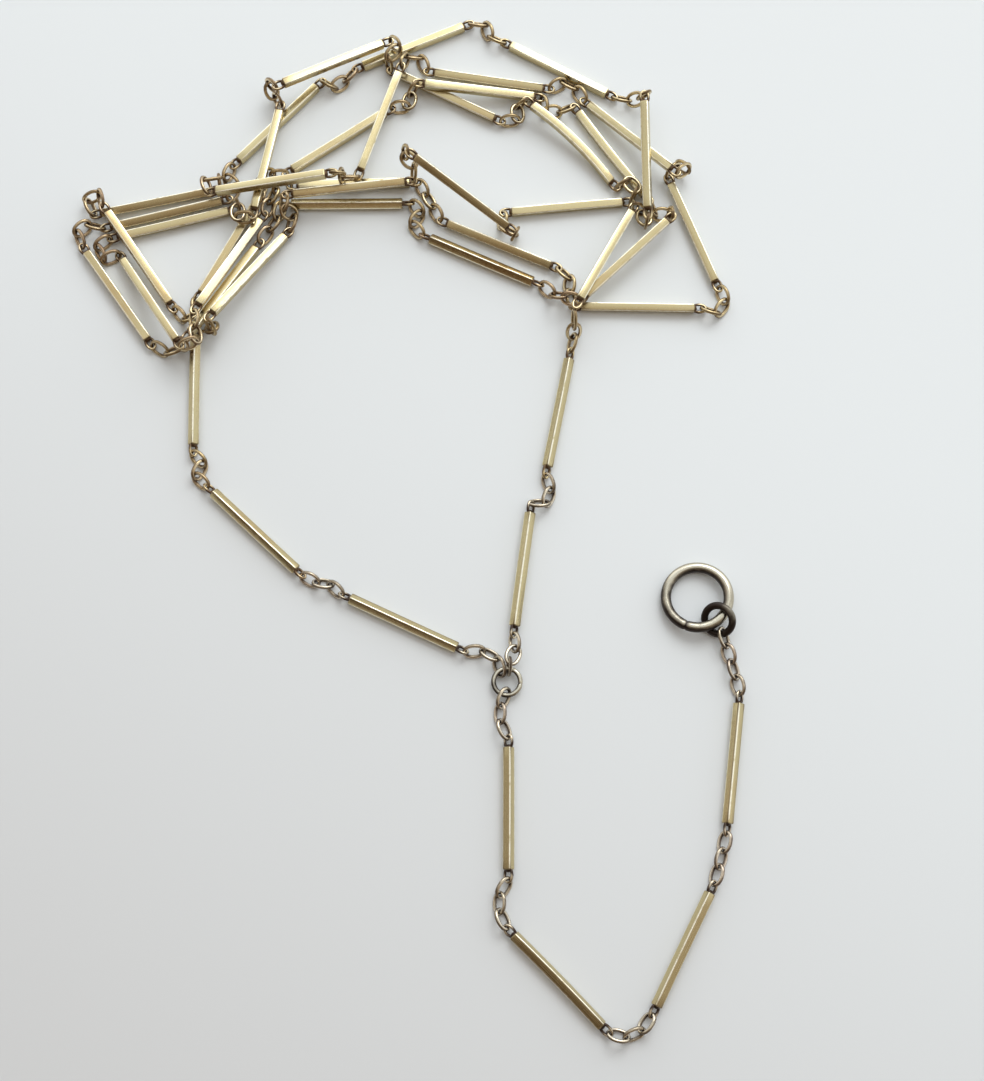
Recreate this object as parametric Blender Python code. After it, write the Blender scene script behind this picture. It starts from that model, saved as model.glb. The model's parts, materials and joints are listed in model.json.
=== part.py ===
"""Long guard chain of square bar links with a watch drop, lying loosely on a flat surface.

A closed neck loop of 41 bars meets at a small ring. A drop of four more bars hangs from that ring
and ends in a jump ring and a larger ring for the watch. Bars are joined by short runs of oval
links. The chain is described by where each bar lies, and `settle` then lets bars and links come to
rest on the surface and on each other, with every bar and link at its own fixed length.

Lengths are in millimetres until a mesh is made. +Z is up, the surface is z = 0.
"""
import math

import bmesh
import bpy
import numpy as np
from mathutils import Matrix

MM = 0.001

# Bars: a square rod with a wire eye on each end.
BAR_LENGTH = 20.0
BAR_WIDTH = 1.5
EYE_REACH = 1.75       # bar end to the inside of its eye
EYE_WIDTH = 1.85
EYE_WIRE = 0.45
EYE_ROOT = 0.3         # how deep the eye is let into the bar

# Links: ovals of round wire.
LINK_LENGTH = 3.8
LINK_WIDTH = 2.5
LINK_WIRE = 0.5
LINKS_PER_RUN = 3
LINKS_TO_JUMP_RING = 4
PLAY = 0.04            # gap between a wire and the joint point it bears on
WELD = 0.20            # how far a wire runs past that point where it is one solid with the next
SLACK = 0.3            # how much closer than taut two joint points may lie

# Rings.
Y_RING_DIAMETER = 5.15
Y_RING_WIRE = 0.75
JUMP_RING_DIAMETER = 6.1
JUMP_RING_WIRE = 1.2
WATCH_RING_DIAMETER = 12.3
WATCH_RING_WIRE = 1.55

# Where the rings lie.
Y_RING_PLACE = (2.5, -24.5)
Y_RING_HEIGHT = 1.0
JUMP_RING_PLACE = (38.0, -14.2)
JUMP_RING_TILT = 38.0          # its plane to the surface
WATCH_RING_BEARING = 130.0     # from the jump ring to the middle of the watch ring
RING_PASS = 0.1                # the watch ring's wire passes this far beyond the jump ring's middle
LEFT_BEARING = 126.0           # where each run hooks into the Y ring
RIGHT_BEARING = 83.0
DROP_BEARING = -82.0
JUMP_BEARING = -72.0           # where the last drop link hooks into the jump ring

# Each bar: name, middle x and y, bearing along the chain, roll, and the layer it starts in.
NECK_LOOP = (
    ("loop_bar_01", -15.0, -14.5, 155, 45, 0),
    ("loop_bar_02", -40.5, 1.5, 137, 45, 0),
    ("loop_bar_03", -51.5, 27.5, 91, 45, 0),
    ("loop_bar_04", -43.5, 48.0, 53, 0, 2),
    ("loop_bar_05", -25.0, 63.0, 7, 0, 3),
    ("loop_bar_06", -2.5, 59.5, -35, 0, 3),
    ("loop_bar_07", 10.0, 63.5, -9, 0, 2),
    ("loop_bar_08", 13.5, 73.5, 136, 0, 2),
    ("loop_bar_09", -8.0, 83.0, 151, 0, 1),
    ("loop_bar_10", -28.0, 87.0, -151, 0, 3),
    ("loop_bar_11", -40.5, 69.5, -102, 0, 3),
    ("loop_bar_12", -56.5, 57.5, -164, 0, 1),
    ("loop_bar_13", -59.5, 42.0, -59, 0, 2),
    ("loop_bar_14", -46.0, 50.5, 57, 0, 3),
    ("loop_bar_15", -25.0, 66.0, 4, 0, 1.5),
    ("loop_bar_16", 1.5, 53.5, -22, 0, 2),
    ("loop_bar_17", 25.5, 42.0, -1, 0, 1),
    ("loop_bar_18", 36.0, 55.5, 112, 0, 1),
    ("loop_bar_19", 24.0, 74.5, 139, 0, 3),
    ("loop_bar_20", -0.5, 86.0, 171, 0, 3),
    ("loop_bar_21", -20.5, 76.5, -111, 0, 4),
    ("loop_bar_22", -39.0, 63.5, -174, 0, 5),
    ("loop_bar_23", -59.0, 62.5, -167, 0, 3),
    ("loop_bar_24", -62.5, 50.5, -53, 0, 4.5),
    ("loop_bar_25", -46.5, 53.5, 62, 0, 2),
    ("loop_bar_26", -28.0, 74.0, 35, 0, 1.5),
    ("loop_bar_27", -2.0, 83.0, -7, 0, 2),
    ("loop_bar_28", 21.5, 71.5, -57, 0, 2),
    ("loop_bar_29", 23.5, 50.5, -134, 0, 3),
    ("loop_bar_30", -2.0, 51.0, 156, 45, 1),
    ("loop_bar_31", -26.0, 61.5, -179, 45, 1),
    ("loop_bar_32", -47.5, 44.5, -121, 0, 1),
    ("loop_bar_33", -66.0, 44.5, 124, 0, 1),
    ("loop_bar_34", -58.0, 60.0, 15, 0, 2),
    ("loop_bar_35", -38.5, 77.0, 46, 0, 2),
    ("loop_bar_36", -15.0, 92.0, 23, 0, 1),
    ("loop_bar_37", 12.0, 88.0, -29, 0, 1),
    ("loop_bar_38", 27.5, 69.5, -90, 0, 4),
    ("loop_bar_39", 20.5, 50.5, -120, 0, 4),
)
RIGHT_ARM = (
    ("loop_bar_41", 5.5, -5.0, 81, 45, 0),
    ("loop_bar_40", 11.0, 22.5, 78, 45, 0),
)
RIGHT_ARM_END = (13.0, 38.5, 0.9)      # where the right arm's last run settles
TIP_FROM_EYE = (-0.15866, -0.82156, -0.95144)  # its free tip, from the last neck bar's joint point
ON_ITS_EDGE = 0.6      # how much its first link is turned towards standing on edge
DROP = (
    ("drop_bar_1", 3.0, -45.0, -91, 35, 0),
    ("drop_bar_2", 10.5, -73.0, -50, 25, 0),
    ("drop_bar_3", 30.5, -68.5, 60, 32, 0),
    ("drop_bar_4", 41.0, -39.5, 78, 45, 0),
)
LAYER = 1.1            # starting height of one layer above the next

# Bars of the heap that are one solid with the bar before them: the run between them is doubled up.
JOINED = {"loop_bar_04", "loop_bar_06", "loop_bar_07", "loop_bar_08", "loop_bar_10", "loop_bar_11",
          "loop_bar_12", "loop_bar_19", "loop_bar_23", "loop_bar_39"}
TURNS_AT_FAR_END = {"loop_bar_01", "loop_bar_02"}      # their joint is with the bar after them

# How a run of links is first laid out between two bars, as a cubic curve.
REACH_OF_GAP = 0.35    # length of the curve's handles, for each length of the gap it bridges
REACH_OF_SLACK = 0.6   # and for each length of slack
BOW = 0.6              # how far a slack run bows out, for each length of its slack
CURVE_POINTS = 41

# Settling.
STEPS = 1200           # rounds of settling
LATE = 0.7             # when the pull and the fall are eased off
LAST = 0.9             # when they stop
GRIP = 0.05            # pull of each bar towards its own place, per round
LATE_GRIP = 0.3        # share of it that is left late on
FALL = 0.02            # drop per round
LATE_FALL = 0.2        # share of it that is left late on
NEAR = 3.5             # pieces whose boxes are closer than this are watched
WATCH_ROUNDS = 25      # rounds between two searches for such pieces
LENGTH_ROUNDS = 4      # times that the lengths are put right in each round
CLEARANCE = 0.12       # kept between pieces that only lie on each other
STIFFNESS = 0.6        # share of an overlap that one round pushes apart
LEAN_OVER = 28.0       # a link on its edge falls over this far from square to its neighbours
ON_EDGE = 0.75         # it counts as on its edge from this share of upright
SAG = 0.15             # how far a bar's eye hangs below the middle of a link on the surface
TURN_RATE = 0.1        # share of its turn that a link makes in one round
FOLD = 84.0            # the most that two linked pieces fold inside a solid run
LOOSE_FOLD = 32.0      # the same at a loose joint
CHOICE = 0.4           # when the straightest fold of each run becomes its loose joint

# Meshes. Every outline lies in a piece's own plane: x along the piece, y across it.
WIRE_SIDES = 4
RING_SIDES = 8
LINK_CORNERS = 8
WELDED_CORNERS = 6     # for links inside a solid run
WATCH_RING_CORNERS = 24
SMALL_RING_CORNERS = 16
THREADED = 0.08        # least gap between two wires threaded through each other
EASE_STEP = 0.03       # furthest that one round of easing moves a threaded link
EASE_ROUNDS = 300
EASE_PASSES = (1, 1, 4)        # for the neck loop, the right arm and the drop
LINE_POINTS = 12       # points on each stretch of a wire's middle line
SMOOTH_ANGLE = 50.0    # edges that turn less than this are shaded smooth
METALS = {              # colour and roughness
    "bar": ((0.56, 0.48, 0.33, 1.0), 0.3),
    "link": ((0.38, 0.30, 0.20, 1.0), 0.35),
    "ring": ((0.30, 0.25, 0.19, 1.0), 0.35),
}

# From joint point to joint point.
PITCH = LINK_LENGTH - 2 * LINK_WIRE - 2 * PLAY
SPAN = BAR_LENGTH + 2 * EYE_REACH - 2 * PLAY


def unit(vectors):
    """Vectors of length one along the given ones."""
    return vectors / np.linalg.norm(vectors, axis=-1, keepdims=True)


def heading(bearing):
    """Level direction at a bearing in degrees, counted from +X towards +Y."""
    turn = math.radians(bearing)
    return np.array([math.cos(turn), math.sin(turn), 0.0])


def across(along, roll):
    """Two directions square to each piece: level and upright, rolled about the piece."""
    level = unit(np.cross([0.0, 0.0, 1.0], along))
    upright = np.cross(along, level)
    cosine = np.cos(roll)[:, None]
    sine = np.sin(roll)[:, None]
    return level * cosine + upright * sine, upright * cosine - level * sine


def run_points(start, leaving, end, arriving, links):
    """Inner joint points of a run of links, spaced evenly on a cubic curve between two ends.

    Where a run that goes straight on is pushed together, it bows out to the right.
    """
    gap = np.linalg.norm(end - start)
    loose = max(links * PITCH - gap, 0.0)
    reach = REACH_OF_SLACK * loose + REACH_OF_GAP * gap
    t = np.linspace(0.0, 1.0, CURVE_POINTS)[:, None]
    curve = ((1 - t) ** 3 * start + 3 * t * (1 - t) ** 2 * (start + leaving * reach)
             + 3 * t * t * (1 - t) * (end - arriving * reach) + t ** 3 * end)
    straight_on = max(np.dot(leaving, arriving), 0.0)
    curve += np.cross(leaving, [0.0, 0.0, BOW * loose * straight_on]) * np.sin(math.pi * t)
    steps = np.linalg.norm(np.diff(curve, axis=0), axis=1)
    travelled = np.concatenate([[0.0], np.cumsum(steps)])
    stops = travelled[-1] * np.arange(1, links) / links
    return [np.array([np.interp(stop, travelled, curve[:, axis]) for axis in range(3)])
            for stop in stops]


def string_up(bars, start, end=None, last_links=0):
    """One chain before it settles: its joint points, and a (name, roll, is_bar) for each piece."""
    points = [np.array(start, float)]
    pieces = []
    leaving = None
    last_roll = 0.0

    def add_run(target, arriving, links, owner, next_roll):
        here = points[-1]
        away = unit(target - here) if leaving is None else leaving
        points.extend(run_points(here, away, target, arriving, links))
        twist = (next_roll - last_roll - 90.0 * links) % 180.0 - 90.0
        for k in range(1, links + 1):
            turn = last_roll + 90.0 * k + twist * k / (links + 1)
            pieces.append((f"{owner}_link_{k}", turn, False))
        points.append(target)

    for name, x, y, bearing, roll, layer in bars:
        middle = np.array([x, y, BAR_WIDTH / 2 + LAYER * layer])
        along = heading(bearing)
        add_run(middle - along * SPAN / 2, along, LINKS_PER_RUN, name, roll)
        points.append(middle + along * SPAN / 2)
        pieces.append((name, roll, True))
        leaving = along
        last_roll = roll
    if end is not None:
        end = np.array(end, float)
        add_run(end, unit(end - points[-1]), last_links, bars[-1][0] + "_end", 0.0)
    return np.array(points), pieces


def closest(first_a, first_b, second_a, second_b):
    """How far along each of two rows of segments their nearest points lie, from 0 to 1."""
    u = first_b - first_a
    v = second_b - second_a
    w = first_a - second_a
    uu, vv, uv = (u * u).sum(1), (v * v).sum(1), (u * v).sum(1)
    uw, vw = (u * w).sum(1), (v * w).sum(1)
    spread = np.maximum(uu * vv - uv * uv, 1e-9)
    s = np.clip((uv * vw - uw * vv) / spread, 0.0, 1.0)
    t = np.clip((uv * s + vw) / vv, 0.0, 1.0)
    s = np.clip((uv * t - uw) / uu, 0.0, 1.0)
    return s, np.clip((uv * s + vw) / vv, 0.0, 1.0)


def hold_apart(points, free, first, second, least, most):
    """Move pairs of points along their line until each pair is within its least and most."""
    line = points[second] - points[first]
    length = np.maximum(np.linalg.norm(line, axis=1), 1e-9)
    wrong = (length - np.clip(length, least, most)) / length
    share = wrong / (free[first] + free[second] + 1e-9)
    np.add.at(points, first, line * (share * free[first])[:, None])
    np.add.at(points, second, -line * (share * free[second])[:, None])


def settle(chains):
    """Let the chains drop on the surface and on each other; returns each one's points and normals.

    Every bar and link keeps its length, linked pieces fold no further than their limit, and any two
    other pieces stay clear of each other by the sum of their half widths along the line between
    their nearest points.
    """
    points = np.concatenate([chain[0] for chain in chains])
    starts = np.cumsum([0] + [len(chain[0]) for chain in chains])
    first = np.concatenate([np.arange(a, b - 1) for a, b in zip(starts[:-1], starts[1:])])
    second = first + 1
    pieces = [piece for chain in chains for piece in chain[1]]
    roll = np.radians([piece[1] for piece in pieces])
    is_bar = np.array([piece[2] for piece in pieces])
    most = np.where(is_bar, SPAN, PITCH)
    least = np.where(is_bar, SPAN, PITCH - SLACK)
    home = points.copy()
    free = np.ones(len(points))
    free[[starts[0], starts[1], starts[2], starts[3] - 1]] = 0.0
    gripped = np.zeros(len(points), bool)
    gripped[first[is_bar]] = True
    gripped[second[is_bar]] = True
    gripped[starts[2] - 1] = True

    middle = np.nonzero(np.diff(first) == 1)[0]
    fold_first, fold_second = first[middle], second[middle + 1]
    run_of_fold = np.array([pieces[k + 1][0].split("_link")[0] for k in middle])
    parted = set(run_of_fold[is_bar[middle]]) - JOINED
    squares = most[middle] ** 2 + most[middle + 1] ** 2
    product = 2 * most[middle] * most[middle + 1]
    loose = fold_first >= starts[2]

    eye_round = EYE_WIRE / 2 / SPAN
    eye_part = EYE_REACH / SPAN
    link_round = LINK_WIRE / 2 / PITCH
    chain_of = np.searchsorted(starts, first, side="right")
    linked_on = np.append(np.diff(chain_of) == 0, False)
    before = np.where(np.append(False, linked_on[:-1]), np.arange(len(pieces)) - 1, -1)
    after = np.where(linked_on, np.arange(len(pieces)) + 1, -1)
    upright = across(unit(points[second] - points[first]), roll)[1]
    solids = []
    for k in range(len(pieces)):
        if is_bar[k]:
            solids.append((k, eye_part, 1 - eye_part, 0.0, BAR_WIDTH / 2, BAR_WIDTH / 2))
            eye = (EYE_WIRE / 2, (EYE_WIDTH - EYE_WIRE) / 2, 0.0)
            solids.append((k, -eye_round, eye_part) + eye)
            solids.append((k, 1 - eye_part, 1 + eye_round) + eye)
        else:
            link = (LINK_WIRE / 2, (LINK_WIDTH - LINK_WIRE) / 2, 0.0)
            solids.append((k, -link_round, 1 + link_round) + link)
    solids = np.array(solids)
    owner = solids[:, 0].astype(int)
    low_end, high_end, round_part, flat_part, deep_part = solids[:, 1:].T
    one, two = np.triu_indices(len(solids), 1)
    linked = abs(first[owner[one]] - first[owner[two]]) <= 1
    one, two = one[~linked], two[~linked]

    for step in range(STEPS):
        late = step > LATE * STEPS
        if step == int(CHOICE * STEPS):
            span = np.linalg.norm(points[fold_second] - points[fold_first], axis=1)
            straightness = (span ** 2 - squares) / product
            for run in sorted(parted):
                folds = np.nonzero(run_of_fold == run)[0]
                loose[folds[straightness[folds].argmax()]] = True
        limit = np.cos(np.radians(np.where(loose, LOOSE_FOLD, FOLD)))
        fold_least = np.sqrt(squares + product * limit)
        line = points[second] - points[first]
        upright = np.where(is_bar[:, None], across(unit(line), roll)[1],
                           link_normals(unit(line), upright, before, after))
        level = np.cross(upright, unit(line))
        if step <= LAST * STEPS:
            points[:, 2] -= FALL * free * (LATE_FALL if late else 1.0)
            pull = GRIP * (LATE_GRIP if late else 1.0)
            points[gripped, :2] += (home - points)[gripped, :2] * pull
        ends_a = points[first[owner]] + line[owner] * low_end[:, None]
        ends_b = points[first[owner]] + line[owner] * high_end[:, None]
        floor = floor_heights(is_bar, level, upright)
        link_floor = np.where(is_bar, 0.0, floor)[owner]
        ends_a[:, 2] = np.maximum(ends_a[:, 2], link_floor)
        ends_b[:, 2] = np.maximum(ends_b[:, 2], link_floor)
        if step % WATCH_ROUNDS == 0:
            low = np.minimum(ends_a, ends_b)
            high = np.maximum(ends_a, ends_b)
            apart = np.maximum(low[one], low[two]) - np.minimum(high[one], high[two])
            near = np.nonzero((apart < NEAR).all(1))[0]
        p, q = one[near], two[near]
        s, t = closest(ends_a[p], ends_b[p], ends_a[q], ends_b[q])
        between = (ends_a[p] + (ends_b[p] - ends_a[p]) * s[:, None]
                   - ends_a[q] - (ends_b[q] - ends_a[q]) * t[:, None])
        distance = np.linalg.norm(between, axis=1) + 1e-9
        push = between / distance[:, None]
        needed = CLEARANCE
        for k in (p, q):
            needed = (needed + round_part[k] + flat_part[k] * abs((push * level[owner[k]]).sum(1))
                      + deep_part[k] * abs((push * upright[owner[k]]).sum(1)))
        overlap = np.maximum(needed - distance, 0.0) * STIFFNESS
        place_p = low_end[p] + (high_end[p] - low_end[p]) * s
        place_q = low_end[q] + (high_end[q] - low_end[q]) * t
        corners = ((first[owner[p]], 1 - place_p, 1), (second[owner[p]], place_p, 1),
                   (first[owner[q]], 1 - place_q, -1), (second[owner[q]], place_q, -1))
        weight = sum(free[index] * part * part for index, part, side in corners) + 1e-9
        for index, part, side in corners:
            np.add.at(points, index, push * (side * overlap * free[index] * part / weight)[:, None])
        lowest = np.zeros(len(points))
        np.maximum.at(lowest, first[~is_bar], floor[~is_bar])
        np.maximum.at(lowest, second[~is_bar], floor[~is_bar])
        lowest[first[is_bar]] = np.maximum(lowest[first[is_bar]] - SAG, floor[is_bar])
        lowest[second[is_bar]] = np.maximum(lowest[second[is_bar]] - SAG, floor[is_bar])
        points[:, 2] = np.where(free > 0, np.maximum(points[:, 2], lowest), points[:, 2])
        hold_apart(points, free, fold_first, fold_second, fold_least, np.inf)
        for _ in range(LENGTH_ROUNDS):
            for odd in (0, 1):
                turn = first % 2 == odd
                hold_apart(points, free, first[turn], second[turn], least[turn], most[turn])
    return [(points[a:b], upright[chain_of == k + 1])
            for k, (a, b) in enumerate(zip(starts[:-1], starts[1:]))]


def link_normals(along, upright, before, after):
    """Turn each link about its own length, towards square to both neighbours and a little over."""
    everything = np.vstack([upright, [0.0, 0.0, 1.0]])
    first, second = across(along, np.zeros(len(along)))
    spread = np.zeros((3, len(along)))
    for neighbour in (everything[before], everything[after]):
        x = (neighbour * first).sum(axis=1)
        y = (neighbour * second).sum(axis=1)
        spread += (x * x, y * y, x * y)
    turn = np.arctan2(2 * spread[2], spread[0] - spread[1]) / 2
    square = second * np.cos(turn)[:, None] - first * np.sin(turn)[:, None]
    square *= np.sign((square * upright).sum(axis=1) + 1e-9)[:, None]
    aside = np.cross(along, square)
    side = np.sign(aside[:, 2:] * square[:, 2:] + 1e-9)
    edge = np.clip((abs(aside[:, 2:]) - ON_EDGE) / (1 - ON_EDGE), 0.0, 1.0)
    lean = math.radians(LEAN_OVER) * edge * side
    wanted = square * np.cos(lean) + aside * np.sin(lean)
    return unit(upright - along * (upright * along).sum(axis=1)[:, None] + wanted * TURN_RATE)


def floor_heights(is_bar, level, upright):
    """Height of each piece's middle line when it just touches the surface."""
    bar = BAR_WIDTH / 2 * (abs(level[:, 2]) + abs(upright[:, 2]))
    link = LINK_WIRE / 2 + (LINK_WIDTH - LINK_WIRE) / 2 * abs(level[:, 2])
    return np.where(is_bar, bar, link)


def oval(length, width, corners):
    """Closed outline of an oval, with round ends cut from a regular polygon."""
    radius = width / 2 / math.cos(math.pi / corners)
    flat_tip = corners % 4 == 0
    straight = length / 2 - (width / 2 if flat_tip else radius)
    outline = []
    for k in range(corners):
        turn = 2 * math.pi * (k + (0.5 if flat_tip else 0.0)) / corners
        side = 1 if math.cos(turn) > 0 else -1
        outline.append((radius * math.cos(turn) + side * straight, radius * math.sin(turn)))
    return np.array(outline)


def eye_outline(drawn_in=0.0):
    """Open outline of the wire eye on a bar's end, from one foot in the bar to the other."""
    width = EYE_WIDTH - EYE_WIRE
    tip = EYE_REACH - drawn_in + EYE_WIRE / 2 - width / 2
    curve = [(tip + x, y) for x, y in oval(width, width, LINK_CORNERS) if x > 0]
    curve.sort(key=lambda point: -point[1])
    return np.array([(-EYE_ROOT, width / 2)] + curve + [(-EYE_ROOT, -width / 2)])


class Pose:
    """A place and three directions: a piece's own plane is spanned by along and level."""

    def __init__(self, origin, along, level, upright):
        self.origin = origin
        self.axes = np.array([along, level, upright])

    def points(self, own):
        """Points given in the piece's own coordinates, in the chain's."""
        return self.origin + own @ self.axes


def piece_pose(is_bar, start, end, normal):
    """Pose of a settled piece at its middle; a link is lifted until it clears the surface."""
    ends = np.array([start, end])
    for _ in range(2):
        along = unit(ends[1] - ends[0])
        upright = unit(normal - along * np.dot(normal, along))
        level = np.cross(upright, along)
        if not is_bar:
            floor = floor_heights(np.array([False]), level[None, :], upright[None, :])[0]
            ends[:, 2] = np.maximum(ends[:, 2], floor)
    return Pose(ends.mean(axis=0), along, level, upright)


def ring_shape(middle, normal, slope, diameter, wire, corners):
    """Outline and pose of a round ring square to normal; slope is a direction in its plane."""
    pose = Pose(middle, slope, np.cross(normal, slope), normal)
    return oval(diameter - wire, diameter - wire, corners), pose


def middle_line(outline, pose, closed=True):
    """Closely spaced points along the middle of a bent wire."""
    path = np.vstack([outline, outline[:1]]) if closed else outline
    steps = np.arange(LINE_POINTS)[:, None] / LINE_POINTS
    flat = np.vstack([a + (b - a) * steps for a, b in zip(path[:-1], path[1:])])
    return pose.points(np.column_stack([flat, np.zeros(len(flat))]))


def wire_mesh(bm, outline, pose, wire, sides, closed=True):
    """Add a bent wire to bm: its section stays square to the outline, mitred at each corner."""
    before = unit(outline - np.roll(outline, 1, axis=0))
    after = unit(np.roll(outline, -1, axis=0) - outline)
    if not closed:
        before[0] = after[0]
        after[-1] = before[-1]
    bisector = unit(before + after)
    outward = np.stack([bisector[:, 1], -bisector[:, 0]], axis=1)
    mitre = 1.0 / (bisector * after).sum(axis=1)
    turns = 2 * math.pi * np.arange(sides) / sides
    rings = []
    for corner, out, stretch in zip(outline, outward, mitre):
        flat = corner + out * (stretch * wire / 2 * np.cos(turns))[:, None]
        section = pose.points(np.column_stack([flat, wire / 2 * np.sin(turns)]))
        rings.append([bm.verts.new(point * MM) for point in section])
    if closed:
        rings.append(rings[0])
    for here, there in zip(rings[:-1], rings[1:]):
        for side in range(sides):
            nxt = (side + 1) % sides
            bm.faces.new((here[side], here[nxt], there[nxt], there[side]))
    if not closed:
        bm.faces.new(rings[0][::-1])
        bm.faces.new(rings[-1])


def rod_mesh(bm, pose):
    """Add the square rod of a bar to bm."""
    size = np.array([BAR_LENGTH, BAR_WIDTH, BAR_WIDTH])
    for vertex in bmesh.ops.create_cube(bm, size=1.0)["verts"]:
        vertex.co = pose.points(np.array(vertex.co) * size) * MM


def new_object(name, draw):
    """An object whose mesh is drawn by draw(bm), with its faces pointing out."""
    bm = bmesh.new()
    draw(bm)
    bmesh.ops.recalc_face_normals(bm, faces=bm.faces[:])
    mesh = bpy.data.meshes.new(name)
    bm.to_mesh(mesh)
    bm.free()
    made = bpy.data.objects.new(name, mesh)
    bpy.context.scene.collection.objects.link(made)
    return made


def union(name, draws):
    """One solid from shapes that run into each other."""
    body = new_object(name, draws[0])
    if len(draws) == 1:
        return body
    tools = bpy.data.collections.new(name + "_tools")
    for draw in draws[1:]:
        tool = new_object(name + "_tool", draw)
        bpy.context.scene.collection.objects.unlink(tool)
        tools.objects.link(tool)
    bpy.context.scene.collection.children.link(tools)
    joined = body.modifiers.new("joined", "BOOLEAN")
    joined.operation = "UNION"
    joined.solver = "EXACT"
    joined.operand_type = "COLLECTION"
    joined.collection = tools
    bpy.context.view_layer.update()
    evaluated = body.evaluated_get(bpy.context.evaluated_depsgraph_get())
    shape = bpy.data.meshes.new_from_object(evaluated)
    body.modifiers.clear()
    body.data = shape
    for tool in list(tools.objects):
        bpy.data.objects.remove(tool)
    bpy.data.collections.remove(tools)
    return body


def metal(name, colour, roughness):
    """A plain metal."""
    made = bpy.data.materials.new(name)
    made.use_nodes = True
    shader = made.node_tree.nodes["Principled BSDF"]
    shader.inputs["Base Color"].default_value = colour
    shader.inputs["Metallic"].default_value = 1.0
    shader.inputs["Roughness"].default_value = roughness
    return made


class Piece:
    """A settled bar or link: its joint points, and which of its ends are one solid with the next."""

    def __init__(self, piece, start, end, normal):
        self.name, _, self.is_bar = piece
        self.ends = np.array([start, end])
        self.normal = normal
        self.welded = [False, False]

    def pose(self):
        return piece_pose(self.is_bar, *self.ends, self.normal)

    def link(self):
        """Outline and pose of a link; a welded end is drawn in until it runs into the next wire."""
        half_gap = np.linalg.norm(self.ends[1] - self.ends[0]) / 2
        low, high = [half_gap - WELD if welded else LINK_LENGTH / 2 - LINK_WIRE
                     for welded in self.welded]
        pose = self.pose()
        pose.origin = pose.origin + pose.axes[0] * (high - low) / 2
        corners = WELDED_CORNERS if all(self.welded) else LINK_CORNERS
        return oval(low + high + LINK_WIRE, LINK_WIDTH - LINK_WIRE, corners), pose

    def eye(self, far):
        """Pose of the eye on one end of a bar."""
        bar = self.pose()
        along, level, upright = bar.axes
        sign = 1 if far else -1
        return Pose(bar.origin + along * sign * BAR_LENGTH / 2, along * sign, level * sign, upright)

    def end_line(self, far):
        """Middle line of the wire at one end."""
        if self.is_bar:
            return middle_line(eye_outline(WELD * self.welded[far]), self.eye(far), False)
        return middle_line(*self.link())

    def ease(self, end, other, wire):
        """Shift one end of a link until its wire clears a wire that it is threaded through."""
        needed = (LINK_WIRE + wire) / 2 + THREADED
        for _ in range(EASE_ROUNDS):
            gaps = middle_line(*self.link())[:, None] - other[None]
            distance = np.linalg.norm(gaps, axis=2)
            nearest = np.unravel_index(distance.argmin(), distance.shape)
            short = needed - distance[nearest]
            if short <= 0:
                break
            self.ends[end] += gaps[nearest] / distance[nearest] * min(short, EASE_STEP)

    def draws(self):
        """The shapes that this piece is made of."""
        if not self.is_bar:
            outline, pose = self.link()
            return [lambda bm: wire_mesh(bm, outline, pose, LINK_WIRE, WIRE_SIDES)]
        rod = self.pose()
        shapes = [lambda bm: rod_mesh(bm, rod)]
        for far in (False, True):
            outline, pose = eye_outline(WELD * self.welded[far]), self.eye(far)
            shapes.append(lambda bm, outline=outline, pose=pose: wire_mesh(
                bm, outline, pose, EYE_WIRE, WIRE_SIDES, closed=False))
        return shapes


def grouped(points, made, one_by_one):
    """The pieces of a settled chain, in groups that are one solid each: (name, pieces).

    Each run between two bars is parted at its straightest joint.
    """
    if one_by_one:
        return [(piece.name, [piece]) for piece in made]
    along = unit(np.diff(points, axis=0))
    straightness = (along[1:] * along[:-1]).sum(axis=1)
    bars = [k for k, piece in enumerate(made) if piece.is_bar]
    cuts = [0]
    for this, following in zip(bars[:-1], bars[1:]):
        if made[following].name not in JOINED:
            cuts.append(this + 1 + int(straightness[this:following].argmax()))
    cuts.append(len(made))
    groups = []
    for low, high in zip(cuts[:-1], cuts[1:]):
        name = next(piece.name for piece in made[low:high] if piece.is_bar)
        groups.append((name, made[low:high]))
    return groups


def weld(groups):
    """Make the pieces inside each group run into each other."""
    for _, members in groups:
        for before, after in zip(members[:-1], members[1:]):
            before.welded[1] = True
            after.welded[0] = True


def ease_joints(made, passes):
    """Ease the links between groups."""
    for before, after in list(zip(made[:-1], made[1:])) * passes:
        if before.welded[1]:
            continue
        if after.is_bar:
            before.ease(1, after.end_line(False), EYE_WIRE)
        else:
            after.ease(0, before.end_line(True), EYE_WIRE if before.is_bar else LINK_WIRE)


def in_plane(normal, bearing):
    """The direction in a sloping plane that lies over a bearing."""
    level = heading(bearing)
    level[2] = -np.dot(normal, level) / normal[2]
    return unit(level)


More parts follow.
